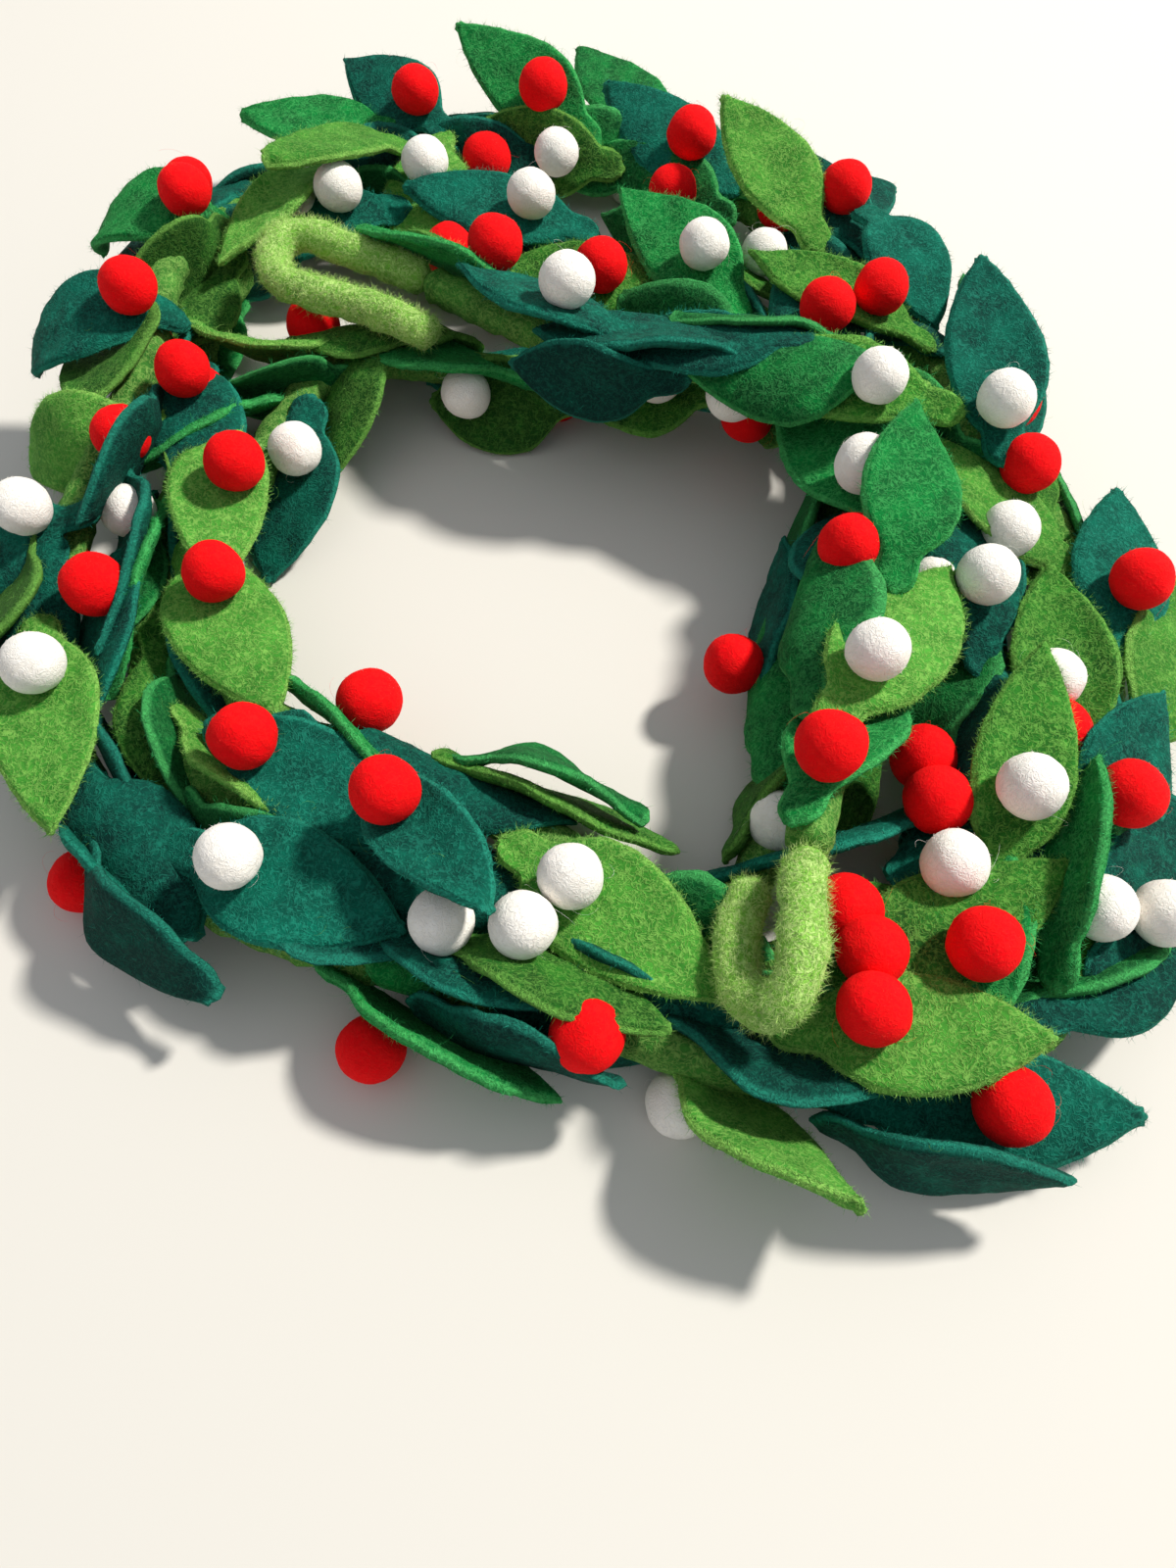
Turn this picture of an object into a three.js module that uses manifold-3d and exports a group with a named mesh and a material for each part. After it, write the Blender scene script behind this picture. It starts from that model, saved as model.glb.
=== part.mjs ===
// A felt leaf garland lying in a loose coil of about three and a half turns.
//
// One felted wool rope is the core. Each of its ends is turned back and sewn down as a
// hanging loop. Thick felt leaves are sewn along it by their stem tabs, and each leaf
// carries one felt ball, joined to it here. The leaves that show or that carry the coil
// are built; the ones buried under them are not.
//
// Millimetres, +Z up. z = 0 is the surface that the coil lies on, and the origin is the
// middle of the coil's outline.

import * as THREE from 'three';
import { mergeVertices } from 'three/addons/utils/BufferGeometryUtils.js';
import Module from 'manifold-3d';

const wasm = await Module();
wasm.setup();

// ---------------------------------------------------------------- driving sizes

const feltThickness = 3;
const leafWidth = 25;
const bladeLength = 50;
const tabLength = 8;
const tabWidth = 8;
const tipWidth = 2;
const ballRadius = 7.5;
const ballSink = 1.2;          // how far a ball is pressed into its leaf
const ballSides = 8;
const ballBands = 4;
const ropeRadius = 5.2;
const ropeSides = 8;
const coreSteps = 72;
const loopSteps = 16;
const seatGap = 0.3;           // between pieces that touch
const trimSlack = 0.2;         // how far a trimmed leaf's small faces may be merged
const seamLength = 8;          // of the core, under the start loop's seam
const coilMiddle = [-13.8, -9.5];

// Blade outline: share of the blade's length, and of its half width there.
const outline = [
  { along: 0.0, wide: 0.34 },
  { along: 0.2, wide: 0.84 },
  { along: 0.42, wide: 1.0 },
  { along: 0.72, wide: 0.78 },
  { along: 1.0, wide: tipWidth / leafWidth },
];

// ---------------------------------------------------------------- rope routes

// Middle of the rope, [x, y, z], about 20 mm apart, anticlockwise seen from above.
const coreRoute = [
  [44.5, -124.5, 35], [46.5, -117, 34], [50, -104, 33], [56, -87, 32], [62, -69, 31], [67, -51, 30],
  [71, -32, 30],
  [72, -14, 28], [68, 2, 26], [60, 15, 22], [48, 25, 18], [34, 31, 14], [16, 34, 13],
  [-4, 35, 13], [-24, 37, 13], [-44, 41, 13], [-62, 42, 13], [-76, 34, 13], [-84, 18, 13],
  [-89, -1, 14], [-94, -21, 14], [-95, -42, 14], [-90, -62, 14], [-77, -78, 14], [-58, -89, 14],
  [-38, -98, 14], [-18, -107, 14], [2, -118, 13], [18, -127, 12], [31, -126, 12], [40, -113, 12],
  [44, -96, 12], [49, -77, 12], [54, -57, 12], [60, -36, 12], [66, -15, 12], [70, 5, 12],
  [70, 24, 13], [64, 42, 13], [52, 57, 13], [36, 70, 13], [18, 79, 13], [-1, 86, 13],
  [-20, 93, 13], [-40, 98, 14], [-60, 101, 14], [-80, 100, 14], [-97, 91, 13], [-109, 74, 12],
  [-113, 54, 12], [-112, 33, 12], [-109, 12, 12], [-109, -8, 12], [-111, -28, 12], [-110, -48, 12],
  [-106, -67, 12], [-98, -84, 12], [-86, -98, 13], [-69, -108, 13], [-50, -116, 13], [-30, -123, 13],
  [-10, -131, 13], [9, -141, 13], [28, -148, 13], [46, -148, 13], [62, -140, 14], [75, -126, 14],
  [84, -108, 14], [90, -88, 14], [93, -68, 14], [95, -48, 14], [98, -28, 14], [101, -8, 13],
  [102, 12, 13], [101, 32, 13], [95, 50, 13], [85, 68, 13], [73, 85, 13], [60, 102, 13],
  [45, 117, 13], [28, 130, 13], [8, 138, 14], [-13, 142, 14], [-35, 141, 14], [-56, 134, 14],
  [-76, 124, 14], [-95, 112, 15], [-110, 97, 19], [-118, 80, 24], [-121, 60, 26], [-121, 38, 26],
  [-122, 16, 25], [-127, -5, 22], [-132, -26, 18], [-133, -48, 15], [-129, -70, 14], [-120, -90, 13],
  [-107, -107, 13], [-92, -120, 13], [-74, -130, 13], [-54, -137, 13], [-33, -143, 13],
  [-12, -149, 13], [10, -156, 13], [32, -163, 13], [54, -166, 13], [75, -163, 13], [93, -154, 13],
  [105, -138, 13], [111, -118, 13], [116, -98, 13], [122, -78, 13], [126, -58, 13], [124, -38, 14],
  [117, -22, 19], [108, -11, 26], [97, -4, 32], [84, 1, 37], [68, 5, 40], [50, 8, 40],
  [32, 13, 38], [14, 19, 35], [-6, 28, 33], [-26, 40, 32], [-44, 52, 32],
];

// The loops' own middle lines. Each starts or ends 0.3 mm off the core's cut end.
const startLoopRoute = [
  [35, -127, 25.5], [31.3, -135, 25], [29.8, -144, 26], [30.3, -152, 28.5], [34.3, -156.8, 33],
  [38.8, -154, 37.6], [40.8, -146.5, 39], [41.6, -138, 38], [43.1, -130, 36.3], [44.35, -125.1, 35.08],
];
const endLoopRoute = [
  [-44.7, 52.6, 32], [-52, 57, 32.5], [-61, 61, 33], [-70, 65, 33.5],
  [-78, 69, 34], [-85, 68, 34], [-88, 60, 34], [-85, 51, 34],
  [-77, 47, 33], [-66, 44, 32], [-53, 38, 32], [-41, 31, 31],
];

const asCurve = (route) => {
  const [mx, my] = coilMiddle;
  const points = route.map(([x, y, z]) => new THREE.Vector3(x - mx, y - my, z));
  return new THREE.CatmullRomCurve3(points, false, 'centripetal');
};
const core = asCurve(coreRoute);
core.arcLengthDivisions = 2000;
const startLoop = asCurve(startLoopRoute);
const endLoop = asCurve(endLoopRoute);

// ---------------------------------------------------------------- solids and meshes

function toSolid(geometry) {
  const bare = geometry.clone();
  bare.deleteAttribute('normal');
  bare.deleteAttribute('uv');
  const merged = mergeVertices(bare, 1e-4);
  return new wasm.Manifold(new wasm.Mesh({
    numProp: 3,
    vertProperties: new Float32Array(merged.attributes.position.array),
    triVerts: new Uint32Array(merged.index.array),
  }));
}

function toGeometry(solid) {
  const { vertProperties, triVerts } = solid.getMesh();
  const geometry = new THREE.BufferGeometry();
  geometry.setAttribute('position', new THREE.BufferAttribute(new Float32Array(vertProperties), 3));
  geometry.setIndex(new THREE.BufferAttribute(new Uint32Array(triVerts), 1));
  geometry.computeVertexNormals();
  return geometry;
}

function tube(curve, radius, steps) {
  const section = new THREE.Shape();
  for (let i = 0; i < ropeSides; i++) {
    const a = (i / ropeSides) * 2 * Math.PI;
    if (i === 0) section.moveTo(radius * Math.cos(a), radius * Math.sin(a));
    else section.lineTo(radius * Math.cos(a), radius * Math.sin(a));
  }
  section.closePath();
  return toSolid(new THREE.ExtrudeGeometry(section, { steps, bevelEnabled: false, extrudePath: curve }));
}

// ---------------------------------------------------------------- one leaf and its ball

const rad = THREE.MathUtils.degToRad;
const leafLength = (row) => tabLength + bladeLength * row.size;

// Where a leaf's tab is sewn to the rope, and which way the leaf sets off from there.
function leafFrame(row) {
  const u = (row.at + seamLength) / core.getLength();
  const along = core.getTangentAt(u);
  const up = new THREE.Vector3(0, 0, 1).addScaledVector(along, -along.z).normalize();
  const left = new THREE.Vector3().crossVectors(up, along);
  const base = core.getPointAt(u).addScaledVector(up, row.up).addScaledVector(left, row.left);
  const heading = Math.atan2(along.y, along.x) + rad(row.turn);
  return new THREE.Matrix4()
    .makeRotationZ(heading)
    .multiply(new THREE.Matrix4().makeRotationY(-rad(row.rise)))
    .multiply(new THREE.Matrix4().makeRotationX(rad(row.roll)))
    .setPosition(base);
}

// How far an arc of the given bend runs, and how far it lifts, at a distance along it.
function arc(bend, distance) {
  if (Math.abs(bend) < 1e-6) return [distance, 0];
  return [Math.sin(bend * distance) / bend, (1 - Math.cos(bend * distance)) / bend];
}

// A point s along a leaf, v across it and n off its middle layer, bent both ways.
function leafPoint(row, s, v, n) {
  const curl = rad(row.curl) / leafLength(row);
  const cup = rad(row.cup) / leafWidth;
  const [x, rise] = arc(curl, s);
  const [across, lift] = arc(cup, v);
  const y = across - Math.sin(cup * v) * n;
  const h = lift + Math.cos(cup * v) * n;
  return new THREE.Vector3(x - Math.sin(curl * s) * h, y, rise + Math.cos(curl * s) * h);
}

function leafSheet(row, grow) {
  const rings = [{ s: -grow, half: tabWidth / 2 }];
  for (const { along, wide } of outline) {
    rings.push({ s: tabLength + bladeLength * row.size * along, half: (leafWidth / 2) * wide });
  }
  rings[rings.length - 1].s += grow;
  const across = [-1, 0, 1];
  const layer = feltThickness / 2 + grow;
  const points = [layer, -layer].flatMap((n) => rings.flatMap(({ s, half }) =>
    across.flatMap((a) => leafPoint(row, s, a * (half + grow), n).toArray())));

  const rows = rings.length;
  const cols = across.length;
  const at = (under, i, j) => (under * rows + i) * cols + j;
  const faces = [];
  const quad = (a, b, c, d) => faces.push(a, b, c, a, c, d);
  for (let i = 0; i < rows - 1; i++) {
    for (let j = 0; j < cols - 1; j++) {
      quad(at(0, i, j), at(0, i + 1, j), at(0, i + 1, j + 1), at(0, i, j + 1));
      quad(at(1, i, j), at(1, i, j + 1), at(1, i + 1, j + 1), at(1, i + 1, j));
    }
    quad(at(0, i, 0), at(1, i, 0), at(1, i + 1, 0), at(0, i + 1, 0));
    quad(at(0, i, cols - 1), at(0, i + 1, cols - 1), at(1, i + 1, cols - 1), at(1, i, cols - 1));
  }
  const last = rows - 1;
  for (let j = 0; j < cols - 1; j++) {
    quad(at(0, 0, j), at(0, 0, j + 1), at(1, 0, j + 1), at(1, 0, j));
    quad(at(0, last, j), at(1, last, j), at(1, last, j + 1), at(0, last, j + 1));
  }
  const geometry = new THREE.BufferGeometry();
  geometry.setAttribute('position', new THREE.Float32BufferAttribute(points, 3));
  geometry.setIndex(faces);
  return toSolid(geometry);
}

function leafSolid(row, grow = 0) {
  const off = row.face * (feltThickness / 2 + ballRadius - ballSink);
  const middle = leafPoint(row, tabLength + bladeLength * row.ballAt, row.ballAside, off);
  const ball = new THREE.SphereGeometry(ballRadius + grow, ballSides, ballBands);
  ball.translate(...middle.toArray());
  return leafSheet(row, grow).add(toSolid(ball)).transform(leafFrame(row).elements);
}

// ---------------------------------------------------------------- leaves along the rope

// at: mm along the core from its seam. left, up: mm from the rope's middle line to the
// middle of the tab. turn: degrees from the rope's direction, + to the left. rise, roll,
// curl, cup: degrees. size: of the blade. ballAt: share of the blade where the ball sits.
// ballAside: mm to the left of the blade's middle. face: 1 ball on top, -1 underneath.
const columns = ['at', 'left', 'up', 'turn', 'rise', 'roll', 'curl', 'cup', 'size',
  'ballAt', 'ballAside', 'face', 'felt'];
const leaves = [
  [-6, 4, 5, -15, -12, -20, -10, 25, 0.9, 0.1, -4, 1, 'emerald'],
  [18, 2, 7, -18, 0, 0, -10, -20, 1, 0.2, 0, 1, 'lime'],
  [60, -4, 7, 6, 10, 10, 0, 20, 0.8, 0.25, 0, -1, 'emerald'],
  [80, -2, 7, 28, -5, -10, 0, 35, 1.1, 0.12, 0, 1, 'emerald'],
  [160, 9, 7, 14, -6, -10, 0, 20, 0.9, 0.25, 0, 1, 'moss'],
  [195, -2, -7, -5, -6, 0, 0, 0, 1, 0.25, 0, -1, 'teal'],
  [218, 10, 6, -16, -2, 50, 0, 15, 1, 0.25, 0, -1, 'emerald'],
  [264, -5, 3, 30, -2, 70, 60, 0, 1, 0.25, 0, 1, 'lime'],
  [316, -10, 7, 20, 5, -5, 0, 15, 1, 0.4, 6, 1, 'lime'],
  [354, -6, 7, 34, -1, 0, 0, -15, 1, 0.28, 2, 1, 'lime'],
  [404, -12, 7, 10, 2, 10, 0, 35, 1, 0.15, 0, 1, 'teal'],
  [404, 8, 4, 0, 2, -70, 0, 15, 1, 0.25, 0, 1, 'emerald'],
  [440, -6, 7, -30, 20, 0, 0, 70, 0.9, 0.3, -5, 1, 'teal'],
  [475, -7, 7, -12, 2, 12, 0, -15, 1, 0.25, 0, 1, 'lime'],
  [520, 7, 0, 10, -8, -70, 0, 10, 1, 0.25, 0, 1, 'teal'],
  [722, 8, 7, -7, 10, -10, -10, 15, 1, 0.25, 0, 1, 'emerald'],
  [750, 8, 7, 20, -6, -15, 0, 20, 1, 0.25, 0, 1, 'moss'],
  [780, -3, 7, 10, 6, -10, 0, 20, 1, 0.25, 0, 1, 'teal'],
  [838, 2, 7, 15, 0, 0, 0, 20, 1, 0.25, 0, 1, 'teal'],
  [900, 0, -6.6, 10, -6, 0, 0, 0, 1, 0.25, 0, -1, 'emerald'],
  [300, -2, 5, -40, -2, 60, 0, 15, 1, 0.25, 0, 1, 'emerald'],
  [995, 3, 9, -5, -6, 75, 0, 15, 1, 0, 0, 1, 'emerald'],
  [1060, 5, 4, 20, 4, -60, 0, 35, 1, 0.25, 0, 1, 'lime'],
  [1095, 0, -7, 0, -6, 0, 0, 0, 1, 0.25, 0, -1, 'teal'],
  [1228, 0, 7, 10, 3, 0, 0, 10, 1, 0.05, 0, 1, 'moss'],
  [1268, -9, 7, 14, 9, 5, 0, 40, 1, 0.25, 0, 1, 'moss'],
  [1360, 0, -7, 5, -6, 0, 0, 0, 1, 0.25, 0, -1, 'moss'],
  [1434, 2, 7, 45, 8, 0, 0, 60, 1, 0.25, 0, 1, 'moss'],
  [1486, -9, 14, 170, 0, 0, -40, 10, 0.7, 0.25, 0, -1, 'teal'],
  [1484, 6, 8, 0, 22, -10, 0, 15, 0.9, 0.25, 0, -1, 'lime'],
  [1524, 4, 5.5, -2, 9, -10, 0, -20, 1, 0.25, 0, 1, 'teal'],
  [1545, 0, -7, 5, -6, 0, 0, 0, 1, 0.25, 0, -1, 'moss'],
  [1576, 5, 4.5, -24, 15, -30, 0, 10, 1, 0.25, 0, 1, 'emerald'],
  [1628, 0, 7, 66, 0, 0, -10, 15, 1, 0.35, 0, 1, 'lime'],
  [1640, -4, 7, -35, 0, 0, 0, 10, 0.9, 0.25, 0, -1, 'emerald'],
  [1666, 4, 9, 34, 0, 15, 0, 70, 1, 0.25, 0, -1, 'lime'],
  [1712, 9, 0, -50, 50, -20, -130, 0, 0.85, 0.15, 0, 1, 'emerald'],
  [1762, 9, 0, -60, 45, -20, -120, 0, 0.85, 0.15, 0, 1, 'teal'],
  [1795, 12, 0, -50, 10, -40, -90, 15, 0.8, 0.05, 3, 1, 'lime'],
  [1828, 9, 7, -62, -12, 0, 0, -25, 0.85, 0.15, 0, 1, 'teal'],
  [1862, 0, 7, 7, -2, -5, 0, 10, 1.05, 0.25, 0, 1, 'lime'],
  [1905, -6, -2, 10, -6, -60, 0, 10, 0.85, 0.25, 0, -1, 'teal'],
  [1939, 4, 7, 14, 6, 8, -10, -15, 0.95, 0.25, 0, 1, 'teal'],
  [1980, -2, 0, -10, 0, -60, 0, 10, 1, 0.2, 0, -1, 'emerald'],
  [2055, 3, -5, -25, 20, -45, 0, 10, 0.85, 0, 0, -1, 'lime'],
  [2075, 8, 7, 8, 6, 5, 0, 10, 0.9, 0.25, 3, 1, 'lime'],
  [2088, -3, 2, 3, -3, 10, 0, 20, 1.1, 0.45, 0, 1, 'teal'],
  [2118, -2, 7, 65, 0, -10, 0, 90, 1, 0.25, 0, 1, 'emerald'],
  [2142, 2, 7, 25, 12, -65, 0, 50, 0.85, 0.25, -2, -1, 'emerald'],
  [2174, 4, 7, -20, 5, 15, 0, 20, 0.8, 0.2, 0, 1, 'teal'],
  [2196, 4, 7, 14, 6, 0, 0, 45, 0.9, 0.25, 0, -1, 'moss'],
  [2230, -3, 7, 5, 8, 10, 0, 15, 0.8, 0.25, 0, 1, 'teal'],
  [2296, 8, 7, -50, 18, -10, 0, 15, 0.95, 0.1, 0, 1, 'teal'],
  [2314, 6, 7, 0, 0, -20, 0, 100, 1, 0.25, 0, 1, 'moss'],
  [2350, 7, -2, -45, -10, -95, 0, 15, 1, 0.2, 0, 1, 'teal'],
  [2396, 3, 7, -8, 0, 5, 0, 25, 0.85, 0.25, 0, 1, 'teal'],
  [2430, -4, 4, 0, 0, 60, 0, 15, 1, 0.15, 5, 1, 'emerald'],
].map((cells) => Object.fromEntries(columns.map((name, i) => [name, cells[i]])));

// ---------------------------------------------------------------- the garland

const colours = {
  rope: '#a5cf6a',
  lime: '#6fae45',
  emerald: '#1f8a45',
  teal: '#0f5c4d',
  moss: '#3f7a33',
};

const garland = new THREE.Group();
garland.name = 'garland';

function addMesh(name, solid, colour) {
  const color = new THREE.Color(colours[colour]);
  const material = new THREE.MeshStandardMaterial({ color, roughness: 0.95, metalness: 0 });
  const mesh = new THREE.Mesh(toGeometry(solid), material);
  mesh.name = name;
  garland.add(mesh);
}

addMesh('core', tube(core, ropeRadius, coreSteps), 'rope');
addMesh('start_loop', tube(startLoop, ropeRadius, loopSteps), 'rope');
addMesh('end_loop', tube(endLoop, ropeRadius, loopSteps), 'rope');

// Leaves are laid from the top of the coil down. Each gives way to the rope and to the
// leaves above it, and is flat where it meets the surface underneath.
const clear = ropeRadius + seatGap;
const laid = [
  tube(core, clear, coreSteps),
  tube(startLoop, clear, loopSteps),
  tube(endLoop, clear, loopSteps),
];
const meet = (a, b) => [0, 1, 2].every((k) => a.min[k] < b.max[k] && a.max[k] > b.min[k]);
const heightOf = (row) =>
  leafPoint(row, leafLength(row) / 2, 0, 0).applyMatrix4(leafFrame(row)).z;

const named = leaves.map((row, i) => ({ ...row, name: `leaf_${String(i + 1).padStart(2, '0')}` }));
for (const row of named.sort((a, b) => heightOf(b) - heightOf(a))) {
  let solid = leafSolid(row).trimByPlane([0, 0, 1], 0);
  for (const other of laid) {
    if (meet(solid.boundingBox(), other.boundingBox())) solid = solid.subtract(other);
  }
  const [largest] = solid.simplify(trimSlack).decompose().sort((a, b) => b.volume() - a.volume());
  addMesh(row.name, largest, row.felt);
  laid.push(leafSolid(row, seatGap));
}
garland.children.sort((a, b) => a.name.localeCompare(b.name));

export default garland;
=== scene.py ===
import math
import bmesh
import bpy
import numpy as np
from mathutils import Matrix, Vector


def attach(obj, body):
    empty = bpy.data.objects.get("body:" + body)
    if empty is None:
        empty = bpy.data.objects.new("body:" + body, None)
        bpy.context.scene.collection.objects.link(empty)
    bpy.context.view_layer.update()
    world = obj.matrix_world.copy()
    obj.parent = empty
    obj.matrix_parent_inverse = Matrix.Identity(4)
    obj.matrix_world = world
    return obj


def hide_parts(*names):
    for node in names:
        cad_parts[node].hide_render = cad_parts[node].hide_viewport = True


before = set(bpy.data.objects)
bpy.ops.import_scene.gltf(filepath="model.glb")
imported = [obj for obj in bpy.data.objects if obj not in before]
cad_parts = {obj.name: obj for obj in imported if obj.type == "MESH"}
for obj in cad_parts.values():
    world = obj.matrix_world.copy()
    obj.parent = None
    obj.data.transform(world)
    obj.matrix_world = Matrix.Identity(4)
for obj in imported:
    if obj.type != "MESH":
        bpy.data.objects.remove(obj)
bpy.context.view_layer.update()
mm = 0.001

# The camera looks down on the coil from its near side.
view = {"place": (0.0138, -0.2185, 0.250), "tilt": 29.0, "lens": 27.0, "sensor": 36.0, "nearest": 0.01}


def newObject(name, data):
    made = bpy.data.objects.new(name, data)
    bpy.context.collection.objects.link(made)
    return made


cameraData = bpy.data.cameras.new("view_camera")
cameraData.lens = view["lens"]
cameraData.sensor_width = view["sensor"]
cameraData.clip_start = view["nearest"]
camera = newObject("view_camera", cameraData)
camera.location = view["place"]
camera.rotation_euler = (math.radians(view["tilt"]), 0, 0)
bpy.context.scene.camera = camera


# ---- shader maths: a wire is a socket that adds Math nodes when it is used in a sum
def feed(tree, slot, value):
    # a wire is linked to the slot, and a plain value is set on it
    if isinstance(value, wire):
        tree.links.new(value.socket, slot)
    elif value is not None:
        slot.default_value = value


def inSum(operation, swapped=False):
    # a method that joins a wire and another value by a Math node
    def method(self, other):
        return self.maths(operation, *((other, self) if swapped else (self, other)))
    return method


class wire:
    def __init__(self, tree, socket):
        self.tree = tree
        self.socket = socket

    def maths(self, operation, first, second):
        node = self.tree.nodes.new("ShaderNodeMath")
        node.operation = operation
        for slot, value in zip(node.inputs, (first, second)):
            feed(self.tree, slot, value)
        return wire(self.tree, node.outputs[0])

    __add__ = inSum("ADD")
    __radd__ = inSum("ADD", swapped=True)
    __sub__ = inSum("SUBTRACT")
    __rsub__ = inSum("SUBTRACT", swapped=True)
    __mul__ = inSum("MULTIPLY")
    __rmul__ = inSum("MULTIPLY", swapped=True)
    __truediv__ = inSum("DIVIDE")
    atMost = inSum("MINIMUM")
    atLeast = inSum("MAXIMUM")

    def __abs__(self):
        return self.maths("ABSOLUTE", self, None)


class shader:
    def __init__(self, name):
        self.material = bpy.data.materials.new(name)
        self.material.use_nodes = True
        self.tree = self.material.node_tree
        self.tree.nodes.clear()

    def add(self, kind, settings=None, out=0, **sockets):
        # settings first, then values or wires for the sockets named with _ for a space
        node = self.tree.nodes.new(kind)
        for key, value in (settings or {}).items():
            if key == "stops":
                ramp = node.color_ramp.elements
                for i, (place, shade) in enumerate(value):
                    stop = ramp[i] if i < 2 else ramp.new(place)
                    stop.position = place
                    stop.color = (shade, shade, shade, 1)
            else:
                setattr(node, key, value)
        for key, value in sockets.items():
            name = key.replace("_", " ")
            feed(self.tree, next(s for s in node.inputs if s.name == name and s.enabled), value)
        return wire(self.tree, node.outputs[out])

    def vectorMaths(self, operation, *values):
        node = self.tree.nodes.new("ShaderNodeVectorMath")
        node.operation = operation
        for slot, value in zip([s for s in node.inputs if s.enabled], values):
            feed(self.tree, slot, value)
        return wire(self.tree, node.outputs[0])

    def mixColour(self, factor, first, second):
        node = self.tree.nodes.new("ShaderNodeMix")
        node.data_type = "RGBA"
        for slot, value in zip([s for s in node.inputs if s.enabled], (factor, first, second)):
            feed(self.tree, slot, value)
        return wire(self.tree, next(s for s in node.outputs if s.enabled))

    def finished(self, surface):
        # the material, with this surface joined to its output
        output = self.tree.nodes.new("ShaderNodeOutputMaterial")
        self.tree.links.new(surface.socket, output.inputs["Surface"])
        return self.material


def paint(code):
    # a screen colour code as the linear colour that a shader takes
    parts = [int(code[i:i + 2], 16) / 255 for i in (1, 3, 5)]
    return (*[c / 12.92 if c <= 0.04045 else ((c + 0.055) / 1.055) ** 2.4 for c in parts], 1.0)


# ---- felt, one material for each dye
# base: the dye. light: the pale fibres in it, and the painted highlight on cut edges. deep:
# the darker felt of its mottling, and the colour that painted shade darkens lower leaves toward.
# loose: the fibres that stand off it. streak: how strongly the pale fibres show. sheen: the soft
# light on its face. relief: how high its grain stands.
dyes = {
    "loop": ("#93cf52", "#e3f8a4", "#5f9a36", "#d9f29a", 0.6, 0.3, 1.0),
    # rope: the same felt as the loops, painted darker as painted shade where the rope lies under the leaves
    "rope": ("#4a9136", "#a4cf6c", "#23541b", "#86bd58", 0.45, 0.16, 1.0),
    "lime": ("#4f9f37", "#a3d66a", "#2a6e20", "#a6dc72", 0.42, 0.1, 1.0),
    "emerald": ("#06893a", "#58c56c", "#024a20", "#4fc573", 0.4, 0.1, 1.0),
    "teal": ("#006853", "#2c9c82", "#002f29", "#2fa58c", 0.34, 0.0, 1.0),
    "moss": ("#318226", "#86c458", "#174613", "#8ccb62", 0.45, 0.12, 1.0),
    "red": ("#ff0310", "#ff2a20", "#f00209", "#ff3a30", 0.2, 0.25, 0.45),
    "white": ("#fff9f0", "#ffffff", "#f6efe4", "#fffdf8", 0.25, 0.15, 0.45),
}
feltColumns = "base light deep loose streak sheen relief".split()
felts = {dye: dict(zip(feltColumns, row)) for dye, row in dyes.items()}

# What all felts share: how close the patterns are, and what their values mix to.
wool = {
    "mottle": 120.0,
    "clump": 300.0,
    "grain": 1700.0,
    "warp": 330.0,
    "warpBy": 0.0035,
    "line": 0.045,        # half the width of a pale fibre, as a share of its pattern
    "bump": 0.0004,
    "strands": (((1.0, 3.2, 1.6), 0.4), ((3.0, 1.0, 1.7), 1.5), ((1.4, 1.5, 3.0), 2.4)),
}


def feltMaterial(dye, spec):
    m = shader(dye + "_felt")
    place = m.add("ShaderNodeTexCoord", out=3)
    warp = m.add(
        "ShaderNodeTexNoise", {"noise_dimensions": "3D"}, out=1,
        Vector=place, Scale=wool["warp"], Detail=2.0)
    centred = m.vectorMaths("SUBTRACT", warp, (0.5, 0.5, 0.5))
    curly = m.vectorMaths("ADD", place, m.vectorMaths("SCALE", centred, wool["warpBy"]))

    lines = None
    for stretch, turn in wool["strands"]:
        angles = (turn, turn * 0.7, turn * 1.3)
        laid = m.add("ShaderNodeMapping", Vector=curly, Rotation=angles, Scale=stretch)
        strand = m.add("ShaderNodeTexNoise", Vector=laid, Scale=wool["clump"], Detail=1.0)
        thread = 1 - (abs(strand - 0.5) / wool["line"]).atMost(1.0)
        lines = thread if lines is None else lines.atLeast(thread)

    mottle = m.add("ShaderNodeTexNoise", Vector=place, Scale=wool["mottle"], Detail=3.0, Roughness=0.6)
    cloudy = m.add("ShaderNodeValToRGB", {"stops": ((0.32, 0.0), (0.68, 1.0))}, Fac=mottle)
    grain = m.add("ShaderNodeTexNoise", Vector=curly, Scale=wool["grain"], Detail=2.0)
    speck = m.add("ShaderNodeValToRGB", {"stops": ((0.35, 0.0), (0.65, 1.0))}, Fac=grain)

    # tone: painted shade on the lower leaves, with a random tone; rim: the cut edges, which get a painted
    # highlight
    tone = m.add("ShaderNodeAttribute", {"attribute_type": "GEOMETRY", "attribute_name": "tone"}, out=2)
    rim = m.add("ShaderNodeAttribute", {"attribute_type": "GEOMETRY", "attribute_name": "rim"}, out=2)
    deep, base, light = [paint(spec[key]) for key in ("deep", "base", "light")]
    # depth mixes random mottling with the painted shade of tone; low depth gives the deep colour
    depth = (cloudy * 0.75 + speck * 0.25 + tone).atLeast(0.0).atMost(1.0)
    body = m.mixColour(depth, deep, base)
    # the pale fibres show less where tone paints shade
    haired = m.mixColour(lines * ((tone + 1.0) * spec["streak"]), body, light)
    # painted highlight: the cut edges are lightened toward the pale colour, as light catches their fibres
    paintedEdgeHighlight = m.mixColour(rim * (0.22 + 0.3 * speck), haired, light)

    relief = lines * 0.55 + grain * 0.6 + mottle * 1.2
    height = wool["bump"] * spec["relief"]
    return m.finished(m.add(
        "ShaderNodeBsdfPrincipled",
        Base_Color=paintedEdgeHighlight,
        Roughness=0.78 + 0.2 * grain,
        Normal=m.add("ShaderNodeBump", Height=relief, Strength=0.75, Distance=height),
        Sheen_Weight=spec["sheen"],
        Sheen_Roughness=0.45,
        Sheen_Tint=light,
        Specular_IOR_Level=0.15,
    ))


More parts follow.
